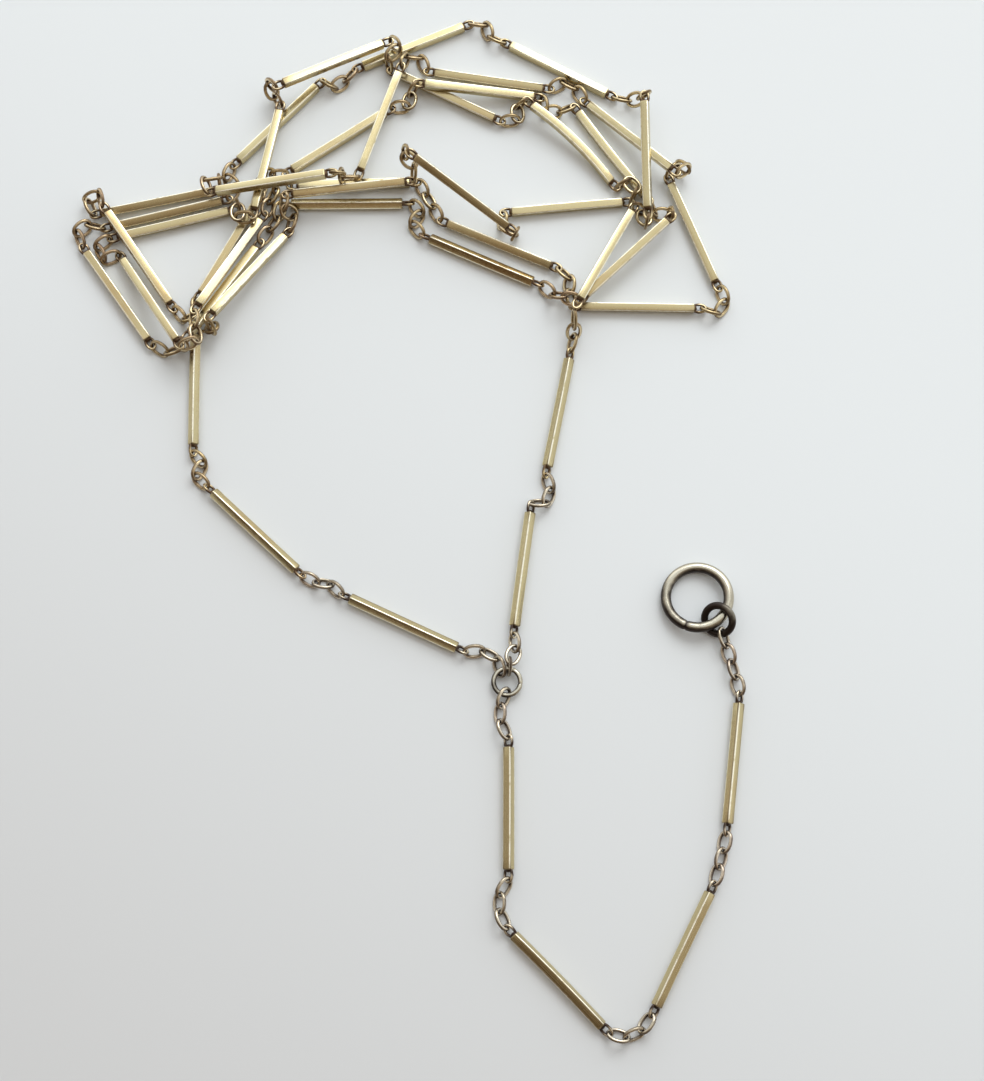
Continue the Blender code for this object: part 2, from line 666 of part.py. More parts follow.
def rings():
    """Each ring's name, wire and shape, and where the chains hook into them."""
    y_middle = np.array([*Y_RING_PLACE, Y_RING_HEIGHT])
    tilt = math.radians(JUMP_RING_TILT)
    jump_radius = (JUMP_RING_DIAMETER - JUMP_RING_WIRE) / 2
    height = JUMP_RING_WIRE / 2 + jump_radius * math.sin(tilt)
    jump_middle = np.array([*JUMP_RING_PLACE, height])
    jump_normal = heading(WATCH_RING_BEARING + 90) * math.sin(tilt) + np.array([0, 0, math.cos(tilt)])
    watch_radius = (WATCH_RING_DIAMETER - WATCH_RING_WIRE) / 2
    fall = (height - WATCH_RING_WIRE / 2) / (2 * watch_radius)
    watch_along = heading(WATCH_RING_BEARING) * math.sqrt(1 - fall ** 2) - np.array([0, 0, fall])
    watch_side = heading(WATCH_RING_BEARING + 90)
    watch_middle = jump_middle + watch_along * (watch_radius - RING_PASS)
    up = np.array([0.0, 0.0, 1.0])
    shapes = {
        "y_ring": (Y_RING_WIRE, ring_shape(
            y_middle, up, heading(0), Y_RING_DIAMETER, Y_RING_WIRE, SMALL_RING_CORNERS)),
        "jump_ring": (JUMP_RING_WIRE, ring_shape(
            jump_middle, jump_normal, in_plane(jump_normal, WATCH_RING_BEARING - 90),
            JUMP_RING_DIAMETER, JUMP_RING_WIRE, SMALL_RING_CORNERS)),
        "watch_ring": (WATCH_RING_WIRE, ring_shape(
            watch_middle, np.cross(watch_along, watch_side), watch_along,
            WATCH_RING_DIAMETER, WATCH_RING_WIRE, WATCH_RING_CORNERS)),
    }
    y_hole = Y_RING_DIAMETER / 2 - Y_RING_WIRE
    hooks = {side: y_middle + y_hole * heading(bearing) for side, bearing in (
        ("left", LEFT_BEARING), ("right", RIGHT_BEARING), ("drop", DROP_BEARING))}
    jump_hole = JUMP_RING_DIAMETER / 2 - JUMP_RING_WIRE
    hooks["jump"] = jump_middle + jump_hole * in_plane(jump_normal, JUMP_BEARING)
    return shapes, hooks


def lift_tip(points, normals, tip):
    """Lay the last three links of the right arm again, from the arm's last bar up to its free tip.

    The first goes straight on from the bar, standing nearly on edge. The other two rise above the
    straight line to the tip; they lie straight towards it where it is further off than they reach.
    """
    step = PITCH - SLACK
    first = points[-4] + unit(points[-4] - points[-5]) * step
    chord = tip - first
    chord *= min(1.0, 2 * step / np.linalg.norm(chord))
    level = unit(np.cross(chord, [0.0, 0.0, 1.0]))
    height = math.sqrt(max(step ** 2 - np.dot(chord, chord) / 4, 0.0))
    rise = unit(np.cross(level, chord)) * height
    points[-3:] = first, first + chord / 2 + rise, first + chord
    for k in (-3, -2, -1):
        normals[k] = unit(np.cross(points[k] - points[k - 1], normals[k - 1]))
        if k == -3:
            normals[k] += level * ON_ITS_EDGE * np.sign(np.dot(normals[k], level))
            normals[k] /= np.linalg.norm(normals[k])


def assemble():
    """Every solid by name: its shapes, its joint point and its material's name; lengths in mm."""
    ring_shapes, hooks = rings()
    chains = [string_up(NECK_LOOP, hooks["left"]),
              string_up(RIGHT_ARM, hooks["right"], RIGHT_ARM_END, LINKS_PER_RUN),
              string_up(DROP, hooks["drop"], hooks["jump"], LINKS_TO_JUMP_RING)]
    settled = settle(chains)
    lift_tip(*settled[1], settled[0][0][-1] + TIP_FROM_EYE)
    solids = {}
    for index, ((points, normals), (_, pieces)) in enumerate(zip(settled, chains)):
        made = [Piece(*row) for row in zip(pieces, points[:-1], points[1:], normals)]
        groups = grouped(points, made, one_by_one=index == 2)
        weld(groups)
        wire, shape = ring_shapes["y_ring"]
        made[0].ease(0, middle_line(*shape), wire)
        ease_joints(made, EASE_PASSES[index])
        if index == 2:
            wire, shape = ring_shapes["jump_ring"]
            made[-1].ease(1, middle_line(*shape), wire)
        link_count = 0
        for name, members in groups:
            first, last = members[0], members[-1]
            joint = last.ends[1] if name in TURNS_AT_FAR_END else first.ends[0]
            if not last.is_bar and index == 2:
                link_count += 1
                name = f"drop_link_{link_count:02d}"
            draws = [draw for member in members[::-1] for draw in member.draws()]
            solids[name] = (draws, joint, "link" if name.startswith("drop_link") else "bar")
    joints = {"y_ring": hooks["left"], "jump_ring": hooks["jump"],
              "watch_ring": ring_shapes["watch_ring"][1][1].origin}
    for name, (wire, shape) in ring_shapes.items():
        draw = [lambda bm, wire=wire, shape=shape: wire_mesh(bm, *shape, wire, RING_SIDES)]
        solids[name] = (draw, joints[name], "ring")
    return solids


def build():
    """Every solid as an object with its origin on its joint, the whole standing on the origin."""
    for old in list(bpy.data.objects):
        bpy.data.objects.remove(old)
    metals = {kind: metal(kind + "_metal", *look) for kind, look in METALS.items()}
    made = {}
    for name, (draws, joint, finish) in assemble().items():
        body = union(name, draws)
        body.data.materials.clear()
        body.data.materials.append(metals[finish])
        made[name] = (body, joint * MM)
    corners = np.array([vertex.co for body, _ in made.values() for vertex in body.data.vertices])
    low, high = corners.min(axis=0), corners.max(axis=0)
    shift = np.array([-(low[0] + high[0]) / 2, -(low[1] + high[1]) / 2, -low[2]])
    for name, (body, joint) in made.items():
        body.data.name = name
        body.data.transform(Matrix.Translation(-joint))
        body.location = joint + shift
        body.data.shade_smooth()
        body.data.set_sharp_from_angle(angle=math.radians(SMOOTH_ANGLE))
    return made


build()
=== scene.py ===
"""Long guard chain of square bar links with a watch drop, lying loosely on a pale surface.

The chain is strung up and settled as the CAD model does it, so that every bar, link and ring is a
piece of its own that rides on its CAD body. The lay is in millimetres. Each mesh is in metres, in
the frame of the CAD model.
"""
import json
import math

import bpy
import numpy as np
from numpy.linalg import norm
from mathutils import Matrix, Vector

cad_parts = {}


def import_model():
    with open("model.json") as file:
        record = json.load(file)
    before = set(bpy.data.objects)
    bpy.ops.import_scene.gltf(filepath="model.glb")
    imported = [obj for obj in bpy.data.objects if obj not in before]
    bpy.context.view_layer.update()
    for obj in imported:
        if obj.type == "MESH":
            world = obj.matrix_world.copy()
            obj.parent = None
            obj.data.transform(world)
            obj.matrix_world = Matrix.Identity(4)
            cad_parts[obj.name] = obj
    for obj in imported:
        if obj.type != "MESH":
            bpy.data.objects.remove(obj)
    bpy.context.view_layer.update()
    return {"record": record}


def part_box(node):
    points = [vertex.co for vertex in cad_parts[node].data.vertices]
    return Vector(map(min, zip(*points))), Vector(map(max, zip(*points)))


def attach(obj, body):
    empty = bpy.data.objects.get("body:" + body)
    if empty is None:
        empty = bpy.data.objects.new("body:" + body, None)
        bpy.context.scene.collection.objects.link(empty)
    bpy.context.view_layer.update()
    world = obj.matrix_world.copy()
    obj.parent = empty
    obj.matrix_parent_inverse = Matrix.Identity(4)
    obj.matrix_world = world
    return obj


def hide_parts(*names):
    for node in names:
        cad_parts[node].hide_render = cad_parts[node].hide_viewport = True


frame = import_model()

MM = 0.001
UP = np.array([0.0, 0.0, 1.0])
TINY = 1e-9  # keeps a length from being zero, or a sign from being none

# ---------------- sizes, as in the CAD model

# Bars: a square rod with a wire eye on each end.
BAR_LENGTH = 20.0
BAR_WIDTH = 1.5
EYE_REACH = 1.75  # bar end to the inside of its eye
EYE_WIDTH = 1.85
EYE_WIRE = 0.45
EYE_ROOT = 0.3  # how deep the eye is let into the bar

# Links: ovals of round wire.
LINK_LENGTH = 3.8
LINK_WIDTH = 2.5
LINK_WIRE = 0.5
LINKS_PER_RUN = 3
LINKS_TO_JUMP_RING = 4
PLAY = 0.04  # gap between a wire and the joint point it bears on
WELD = 0.20  # how far it runs past that point where it is one solid with the next
SLACK = 0.3  # how much closer than taut two joint points may lie

# Rings.
Y_RING_DIAMETER = 5.15
Y_RING_WIRE = 0.75
JUMP_RING_DIAMETER = 6.1
JUMP_RING_WIRE = 1.2
WATCH_RING_DIAMETER = 12.3
WATCH_RING_WIRE = 1.55

# Where the rings lie.
Y_RING_PLACE = (2.5, -24.5)
Y_RING_HEIGHT = 1.0
JUMP_RING_PLACE = (38.0, -14.2)
JUMP_RING_TILT = 38.0  # its plane to the surface
WATCH_RING_BEARING = 130.0  # from the jump ring to the middle of the watch ring
RING_PASS = 0.1  # the watch ring's wire passes this far beyond the jump ring's middle
LEFT_BEARING = 126.0  # where each run hooks into the Y ring
RIGHT_BEARING = 83.0
DROP_BEARING = -82.0
JUMP_BEARING = -72.0  # where the last drop link hooks into the jump ring


def loop_bar(number):
    return f"loop_bar_{number:02d}"


# Each bar: name, middle x and y, bearing along the chain, roll, and the layer it starts in.
NECK_LOOP = tuple((loop_bar(number), *row) for number, row in enumerate((
    (-15.0, -14.5, 155, 45, 0), (-40.5, 1.5, 137, 45, 0), (-51.5, 27.5, 91, 45, 0),
    (-43.5, 48.0, 53, 0, 2), (-25.0, 63.0, 7, 0, 3), (-2.5, 59.5, -35, 0, 3),
    (10.0, 63.5, -9, 0, 2), (13.5, 73.5, 136, 0, 2), (-8.0, 83.0, 151, 0, 1),
    (-28.0, 87.0, -151, 0, 3), (-40.5, 69.5, -102, 0, 3), (-56.5, 57.5, -164, 0, 1),
    (-59.5, 42.0, -59, 0, 2), (-46.0, 50.5, 57, 0, 3), (-25.0, 66.0, 4, 0, 1.5),
    (1.5, 53.5, -22, 0, 2), (25.5, 42.0, -1, 0, 1), (36.0, 55.5, 112, 0, 1),
    (24.0, 74.5, 139, 0, 3), (-0.5, 86.0, 171, 0, 3), (-20.5, 76.5, -111, 0, 4),
    (-39.0, 63.5, -174, 0, 5), (-59.0, 62.5, -167, 0, 3), (-62.5, 50.5, -53, 0, 4.5),
    (-46.5, 53.5, 62, 0, 2), (-28.0, 74.0, 35, 0, 1.5), (-2.0, 83.0, -7, 0, 2),
    (21.5, 71.5, -57, 0, 2), (23.5, 50.5, -134, 0, 3), (-2.0, 51.0, 156, 45, 1),
    (-26.0, 61.5, -179, 45, 1), (-47.5, 44.5, -121, 0, 1), (-66.0, 44.5, 124, 0, 1),
    (-58.0, 60.0, 15, 0, 2), (-38.5, 77.0, 46, 0, 2), (-15.0, 92.0, 23, 0, 1),
    (12.0, 88.0, -29, 0, 1), (27.5, 69.5, -90, 0, 4), (20.5, 50.5, -120, 0, 4),
), 1))
RIGHT_ARM = (
    (loop_bar(41), 5.5, -5.0, 81, 45, 0),
    (loop_bar(40), 11.0, 22.5, 78, 45, 0),
)
RIGHT_ARM_END = (13.0, 38.5, 0.9)  # where the right arm's last run settles
TIP_FROM_EYE = (-0.15866, -0.82156, -0.95144)  # its free tip, from the last neck bar's joint point
ON_ITS_EDGE = 0.6  # how much its first link is turned towards standing on edge
DROP = (
    ("drop_bar_1", 3.0, -45.0, -91, 35, 0),
    ("drop_bar_2", 10.5, -73.0, -50, 25, 0),
    ("drop_bar_3", 30.5, -68.5, 60, 32, 0),
    ("drop_bar_4", 41.0, -39.5, 78, 45, 0),
)
LAYER = 1.1  # starting height of one layer above the next

# Bars of the heap that are one solid with the bar before them: the run between them is doubled up.
JOINED = {loop_bar(number) for number in (4, 6, 7, 8, 10, 11, 12, 19, 23, 39)}

# How a run of links is first laid out between two bars, as a cubic curve.
REACH_OF_GAP = 0.35  # length of the curve's handles, as a share of the gap,
REACH_OF_SLACK = 0.6  # and of the slack
BOW = 0.6  # how far a slack run bows out, as a share of its slack
CURVE_POINTS = 41

# Settling.
STEPS = 1200  # rounds of settling
LATE = 0.7  # when the pull and the fall are eased off
LAST = 0.9  # when they stop
GRIP = 0.05  # pull of each bar towards its own place, per round
FALL = 0.02  # drop per round
LATE_GRIP = 0.3  # share of the pull that is left late on,
LATE_FALL = 0.2  # and of the drop
NEAR = 3.5  # pieces whose boxes are closer than this are watched
WATCH_ROUNDS = 25  # rounds between two searches for such pieces
LENGTH_ROUNDS = 4  # times that the lengths are put right in each round
CLEARANCE = 0.12  # kept between pieces that only lie on each other
STIFFNESS = 0.6  # share of an overlap that one round pushes apart
LEAN_OVER = 28.0  # a link on its edge falls over this far from square to its neighbours
ON_EDGE = 0.75  # it counts as on its edge from this share of upright
SAG = 0.15  # how far a bar's eye hangs below the middle of a link on the surface
TURN_RATE = 0.1  # share of its turn that a link makes in one round
FOLD = 84.0  # the most that two linked pieces fold inside a solid run
LOOSE_FOLD = 32.0  # the same at a loose joint
CHOICE = 0.4  # when the straightest fold of each run becomes its loose joint

# Outlines as the CAD model draws them, and how links are eased apart.
LINK_CORNERS = 8
WELDED_CORNERS = 6  # for links inside a solid run
WATCH_RING_CORNERS = 24
SMALL_RING_CORNERS = 16
THREADED = 0.08  # least gap between two wires threaded through each other
EASE_STEP = 0.03  # furthest that one round of easing moves a threaded link
EASE_ROUNDS = 300
EASE_PASSES = (1, 1, 4)  # for the neck loop, the right arm and the drop
LINE_POINTS = 12  # points on each stretch of a wire's middle line
LIFT_ROUNDS = 2  # times that a link is lifted to clear the surface

# From joint point to joint point.
PITCH = LINK_LENGTH - 2 * LINK_WIRE - 2 * PLAY
SPAN = BAR_LENGTH + 2 * EYE_REACH - 2 * PLAY


# ---------------- how the chain comes to rest

def unit(vectors):
    """Vectors of length one along the given ones."""
    return vectors / norm(vectors, axis=-1, keepdims=True)


def distances(path):
    """Distance along a path to each of its points."""
    return np.append(0.0, np.cumsum(norm(np.diff(path, axis=0), axis=1)))


def heading(bearing):
    """Level direction at a bearing in degrees, counted from +X towards +Y."""
    turn = math.radians(bearing)
    return np.array([math.cos(turn), math.sin(turn), 0.0])


def across(along, roll):
    """Two directions square to each piece: level and upright, rolled about the piece."""
    level = unit(np.cross(UP, along))
    upright = np.cross(along, level)
    cosine, sine = np.cos(roll)[:, None], np.sin(roll)[:, None]
    return level * cosine + upright * sine, upright * cosine - level * sine


def run_points(start, leaving, end, arriving, links):
    """Inner joint points of a run of links, spaced evenly on a cubic curve between two ends.

    Where a run that goes straight on is pushed together, it bows out to the right.
    """
    gap = norm(end - start)
    loose = max(links * PITCH - gap, 0.0)
    reach = REACH_OF_SLACK * loose + REACH_OF_GAP * gap
    t = np.linspace(0.0, 1.0, CURVE_POINTS)[:, None]
    curve = ((1 - t) ** 3 * start + 3 * t * (1 - t) ** 2 * (start + leaving * reach)
             + 3 * t * t * (1 - t) * (end - arriving * reach) + t ** 3 * end)
    straight_on = max(np.dot(leaving, arriving), 0.0)
    curve += np.cross(leaving, [0.0, 0.0, BOW * loose * straight_on]) * np.sin(math.pi * t)
    travelled = distances(curve)
    stops = travelled[-1] * np.arange(1, links) / links
    return [np.array([np.interp(stop, travelled, curve[:, axis]) for axis in range(3)])
            for stop in stops]


def string_up(bars, start, end=None, last_links=0):
    """One chain before it settles: its joint points, and a (name, roll, is_bar) for each piece."""
    points = [np.array(start, float)]
    pieces = []
    leaving = None
    last_roll = 0.0

    def add_run(target, arriving, links, owner, next_roll):
        here = points[-1]
        away = unit(target - here) if leaving is None else leaving
        points.extend(run_points(here, away, target, arriving, links))
        twist = (next_roll - last_roll - 90.0 * links) % 180.0 - 90.0
        for k in range(1, links + 1):
            turn = last_roll + 90.0 * k + twist * k / (links + 1)
            pieces.append((f"{owner}_link_{k}", turn, False))
        points.append(target)

    for name, x, y, bearing, roll, layer in bars:
        middle = np.array([x, y, BAR_WIDTH / 2 + LAYER * layer])
        along = heading(bearing)
        add_run(middle - along * SPAN / 2, along, LINKS_PER_RUN, name, roll)
        points.append(middle + along * SPAN / 2)
        pieces.append((name, roll, True))
        leaving = along
        last_roll = roll
    if end is not None:
        end = np.array(end, float)
        add_run(end, unit(end - points[-1]), last_links, bars[-1][0] + "_end", 0.0)
    return np.array(points), pieces


def closest(first_a, first_b, second_a, second_b):
    """How far along each of two rows of segments their nearest points lie, from 0 to 1."""
    u = first_b - first_a
    v = second_b - second_a
    w = first_a - second_a
    uu, vv, uv = (u * u).sum(1), (v * v).sum(1), (u * v).sum(1)
    uw, vw = (u * w).sum(1), (v * w).sum(1)
    spread = np.maximum(uu * vv - uv * uv, TINY)
    s = np.clip((uv * vw - uw * vv) / spread, 0.0, 1.0)
    t = np.clip((uv * s + vw) / vv, 0.0, 1.0)
    s = np.clip((uv * t - uw) / uu, 0.0, 1.0)
    return s, np.clip((uv * s + vw) / vv, 0.0, 1.0)


def hold_apart(points, free, first, second, least, most):
    """Move pairs of points along their line until each pair is within its least and most."""
    line = points[second] - points[first]
    length = np.maximum(norm(line, axis=1), TINY)
    wrong = (length - np.clip(length, least, most)) / length
    share = wrong / (free[first] + free[second] + TINY)
    np.add.at(points, first, line * (share * free[first])[:, None])
    np.add.at(points, second, -line * (share * free[second])[:, None])


def settle(chains):
    """Let the chains drop on the surface and on each other; returns each one's points and normals.

    Pieces keep their lengths, and linked ones fold no further than their limit. Any two others stay
    clear of each other by their half widths along the line between their nearest points.
    """
    points = np.concatenate([chain[0] for chain in chains])
    starts = np.cumsum([0] + [len(chain[0]) for chain in chains])
    first = np.concatenate([np.arange(a, b - 1) for a, b in zip(starts[:-1], starts[1:])])
    second = first + 1
    pieces = [piece for chain in chains for piece in chain[1]]
    roll = np.radians([piece[1] for piece in pieces])
    is_bar = np.array([piece[2] for piece in pieces])
    most = np.where(is_bar, SPAN, PITCH)
    least = np.where(is_bar, SPAN, PITCH - SLACK)
    home = points.copy()
    free = np.ones(len(points))
    free[[starts[0], starts[1], starts[2], starts[3] - 1]] = 0.0
    gripped = np.zeros(len(points), bool)
    gripped[np.concatenate([first[is_bar], second[is_bar], starts[2:3] - 1])] = True

    chain_of = np.searchsorted(starts, first, side="right")
    linked_on = np.append(np.diff(chain_of) == 0, False)
    number = np.arange(len(pieces))
    before = np.where(np.roll(linked_on, 1), number - 1, -1)
    after = np.where(linked_on, number + 1, -1)
    middle = number[linked_on]
    fold_first, fold_second = first[middle], second[middle + 1]
    run_of_fold = np.array([pieces[k + 1][0].split("_link")[0] for k in middle])
    parted = set(run_of_fold[is_bar[middle]]) - JOINED
    squares = most[middle] ** 2 + most[middle + 1] ** 2
    product = 2 * most[middle] * most[middle + 1]
    loose = fold_first >= starts[2]

    upright = across(unit(points[second] - points[first]), roll)[1]
    eye_end = EYE_WIRE / 2 / SPAN
    eye_part = EYE_REACH / SPAN
    link_end = LINK_WIRE / 2 / PITCH
    eye = (EYE_WIRE / 2, (EYE_WIDTH - EYE_WIRE) / 2, 0.0)
    bar_parts = ((eye_part, 1 - eye_part, 0.0, BAR_WIDTH / 2, BAR_WIDTH / 2),
                 (-eye_end, eye_part, *eye), (1 - eye_part, 1 + eye_end, *eye))
    link_parts = ((-link_end, 1 + link_end, LINK_WIRE / 2, (LINK_WIDTH - LINK_WIRE) / 2, 0.0),)
    solids = np.array([(k, *part) for k, bar in enumerate(is_bar)
                       for part in (bar_parts if bar else link_parts)])
    owner = solids[:, 0].astype(int)
    low_end, high_end, round_part, flat_part, deep_part = solids[:, 1:].T
    one, two = np.triu_indices(len(solids), 1)
    linked = abs(first[owner[one]] - first[owner[two]]) <= 1
    one, two = one[~linked], two[~linked]

    for step in range(STEPS):
        late = step > LATE * STEPS
        if step == int(CHOICE * STEPS):
            span = norm(points[fold_second] - points[fold_first], axis=1)
            straightness = (span ** 2 - squares) / product
            for run in sorted(parted):
                folds = np.nonzero(run_of_fold == run)[0]
                loose[folds[straightness[folds].argmax()]] = True
        limit = np.cos(np.radians(np.where(loose, LOOSE_FOLD, FOLD)))
        fold_least = np.sqrt(squares + product * limit)
        line = points[second] - points[first]
        upright = np.where(is_bar[:, None], across(unit(line), roll)[1],
                           link_normals(unit(line), upright, before, after))
        level = np.cross(upright, unit(line))
        if step <= LAST * STEPS:
            points[:, 2] -= FALL * free * (LATE_FALL if late else 1.0)
            pull = GRIP * (LATE_GRIP if late else 1.0)
            points[gripped, :2] += (home - points)[gripped, :2] * pull
        ends_a = points[first[owner]] + line[owner] * low_end[:, None]
        ends_b = points[first[owner]] + line[owner] * high_end[:, None]
        floor = floor_heights(is_bar, level, upright)
        link_floor = np.where(is_bar, 0.0, floor)[owner]
        for ends in (ends_a, ends_b):
            ends[:, 2] = np.maximum(ends[:, 2], link_floor)
        if step % WATCH_ROUNDS == 0:
            low = np.minimum(ends_a, ends_b)
            high = np.maximum(ends_a, ends_b)
            apart = np.maximum(low[one], low[two]) - np.minimum(high[one], high[two])
            near = np.nonzero((apart < NEAR).all(1))[0]
        p, q = one[near], two[near]
        s, t = closest(ends_a[p], ends_b[p], ends_a[q], ends_b[q])
        between = (ends_a[p] + (ends_b[p] - ends_a[p]) * s[:, None]
                   - ends_a[q] - (ends_b[q] - ends_a[q]) * t[:, None])
        distance = norm(between, axis=1) + TINY
        push = between / distance[:, None]
        needed = CLEARANCE
        for k in (p, q):
            needed = (needed + round_part[k] + flat_part[k] * abs((push * level[owner[k]]).sum(1))
                      + deep_part[k] * abs((push * upright[owner[k]]).sum(1)))
        overlap = np.maximum(needed - distance, 0.0) * STIFFNESS
        place_p = low_end[p] + (high_end[p] - low_end[p]) * s
        place_q = low_end[q] + (high_end[q] - low_end[q]) * t
        corners = ((first[owner[p]], 1 - place_p, 1), (second[owner[p]], place_p, 1),
                   (first[owner[q]], 1 - place_q, -1), (second[owner[q]], place_q, -1))
        weight = sum(free[index] * part * part for index, part, side in corners) + TINY
        for index, part, side in corners:
            np.add.at(points, index, push * (side * overlap * free[index] * part / weight)[:, None])
        lowest = np.zeros(len(points))
        for ends in (first, second):
            np.maximum.at(lowest, ends[~is_bar], floor[~is_bar])
        for ends in (first[is_bar], second[is_bar]):
            lowest[ends] = np.maximum(lowest[ends] - SAG, floor[is_bar])
        points[:, 2] = np.where(free > 0, np.maximum(points[:, 2], lowest), points[:, 2])
        hold_apart(points, free, fold_first, fold_second, fold_least, np.inf)
        for _ in range(LENGTH_ROUNDS):
            for odd in (0, 1):
                turn = first % 2 == odd
                hold_apart(points, free, first[turn], second[turn], least[turn], most[turn])
    return [(points[a:b], upright[chain_of == k + 1])
            for k, (a, b) in enumerate(zip(starts[:-1], starts[1:]))]


def link_normals(along, upright, before, after):
    """Turn each link about its length, towards square to both neighbours and a little over."""
    everything = np.vstack([upright, UP])
    first, second = across(along, np.zeros(len(along)))
    spread = np.zeros((3, len(along)))
    for neighbour in (everything[before], everything[after]):
        x = (neighbour * first).sum(axis=1)
        y = (neighbour * second).sum(axis=1)
        spread += (x * x, y * y, x * y)
    turn = np.arctan2(2 * spread[2], spread[0] - spread[1]) / 2
    square = second * np.cos(turn)[:, None] - first * np.sin(turn)[:, None]
    square *= np.sign((square * upright).sum(axis=1) + TINY)[:, None]
    aside = np.cross(along, square)
    side = np.sign(aside[:, 2:] * square[:, 2:] + TINY)
    edge = np.clip((abs(aside[:, 2:]) - ON_EDGE) / (1 - ON_EDGE), 0.0, 1.0)
    lean = math.radians(LEAN_OVER) * edge * side
    wanted = square * np.cos(lean) + aside * np.sin(lean)
    return unit(upright - along * (upright * along).sum(axis=1)[:, None] + wanted * TURN_RATE)


def floor_heights(is_bar, level, upright):
    """Height of each piece's middle line when it just touches the surface."""
    bar = BAR_WIDTH / 2 * (abs(level[:, 2]) + abs(upright[:, 2]))
    link = LINK_WIRE / 2 + (LINK_WIDTH - LINK_WIRE) / 2 * abs(level[:, 2])
    return np.where(is_bar, bar, link)


def oval(length, width, corners):
    """Closed outline of an oval, with round ends cut from a regular polygon."""
    radius = width / 2 / math.cos(math.pi / corners)
    flat_tip = corners % 4 == 0
    straight = length / 2 - (width / 2 if flat_tip else radius)
    outline = []
    for k in range(corners):
        turn = 2 * math.pi * (k + (0.5 if flat_tip else 0.0)) / corners
        side = 1 if math.cos(turn) > 0 else -1
        outline.append((radius * math.cos(turn) + side * straight, radius * math.sin(turn)))
    return np.array(outline)


def eye_outline(drawn_in):
    """Open outline of the wire eye on a bar's end, from one foot to the other."""
    width = EYE_WIDTH - EYE_WIRE
    tip = EYE_REACH - drawn_in + EYE_WIRE / 2 - width / 2
    curve = [(tip + x, y) for x, y in oval(width, width, LINK_CORNERS) if x > 0]
    curve.sort(key=lambda point: -point[1])
    return np.array([(-EYE_ROOT, width / 2)] + curve + [(-EYE_ROOT, -width / 2)])


class Pose:
    """A place and three directions: a piece's own plane is spanned by along and level."""

    def __init__(self, origin, along, level, upright):
        self.origin = origin
        self.axes = np.array([along, level, upright])

    def points(self, own):
        """The piece's own points, in the chain's coordinates."""
        return self.origin + own @ self.axes


def ring_shape(diameter, wire, corners, middle, normal, slope):
    """Wire, outline and pose of a round ring square to normal; slope lies in its plane."""
    pose = Pose(middle, slope, np.cross(normal, slope), normal)
    return wire, oval(diameter - wire, diameter - wire, corners), pose


def middle_line(outline, pose, closed=True):
    """Closely spaced points along the middle of a bent wire."""
    path = np.vstack([outline, outline[:1]]) if closed else outline
    steps = np.arange(LINE_POINTS)[:, None] / LINE_POINTS
    flat = np.vstack([a + (b - a) * steps for a, b in zip(path[:-1], path[1:])])
    return pose.points(np.column_stack([flat, np.zeros(len(flat))]))


def in_plane(normal, bearing):
    """The direction in a sloping plane that lies over a bearing."""
    level = heading(bearing)
    level[2] = -np.dot(normal, level) / normal[2]
    return unit(level)


def rings():
    """The shape of each ring, and where the chains hook into them."""
    y_middle = np.array([*Y_RING_PLACE, Y_RING_HEIGHT])
    tilt = math.radians(JUMP_RING_TILT)
    jump_radius = (JUMP_RING_DIAMETER - JUMP_RING_WIRE) / 2
    height = JUMP_RING_WIRE / 2 + jump_radius * math.sin(tilt)
    jump_middle = np.array([*JUMP_RING_PLACE, height])
    watch_side = heading(WATCH_RING_BEARING + 90)
    jump_normal = watch_side * math.sin(tilt) + UP * math.cos(tilt)
    watch_radius = (WATCH_RING_DIAMETER - WATCH_RING_WIRE) / 2
    fall = (height - WATCH_RING_WIRE / 2) / (2 * watch_radius)
    watch_along = heading(WATCH_RING_BEARING) * math.sqrt(1 - fall ** 2) - UP * fall
    watch_middle = jump_middle + watch_along * (watch_radius - RING_PASS)
    shapes = {
        "y_ring": ring_shape(Y_RING_DIAMETER, Y_RING_WIRE, SMALL_RING_CORNERS,
                             y_middle, UP, heading(0)),
        "jump_ring": ring_shape(JUMP_RING_DIAMETER, JUMP_RING_WIRE, SMALL_RING_CORNERS,
                                jump_middle, jump_normal,
                                in_plane(jump_normal, WATCH_RING_BEARING - 90)),
        "watch_ring": ring_shape(WATCH_RING_DIAMETER, WATCH_RING_WIRE, WATCH_RING_CORNERS,
                                 watch_middle, np.cross(watch_along, watch_side), watch_along),
    }
    y_hole = Y_RING_DIAMETER / 2 - Y_RING_WIRE
    hooks = {side: y_middle + y_hole * heading(bearing) for side, bearing in (
        ("left", LEFT_BEARING), ("right", RIGHT_BEARING), ("drop", DROP_BEARING))}
    jump_hole = JUMP_RING_DIAMETER / 2 - JUMP_RING_WIRE
    hooks["jump"] = jump_middle + jump_hole * in_plane(jump_normal, JUMP_BEARING)
    return shapes, hooks


# ---------------- where every piece lies

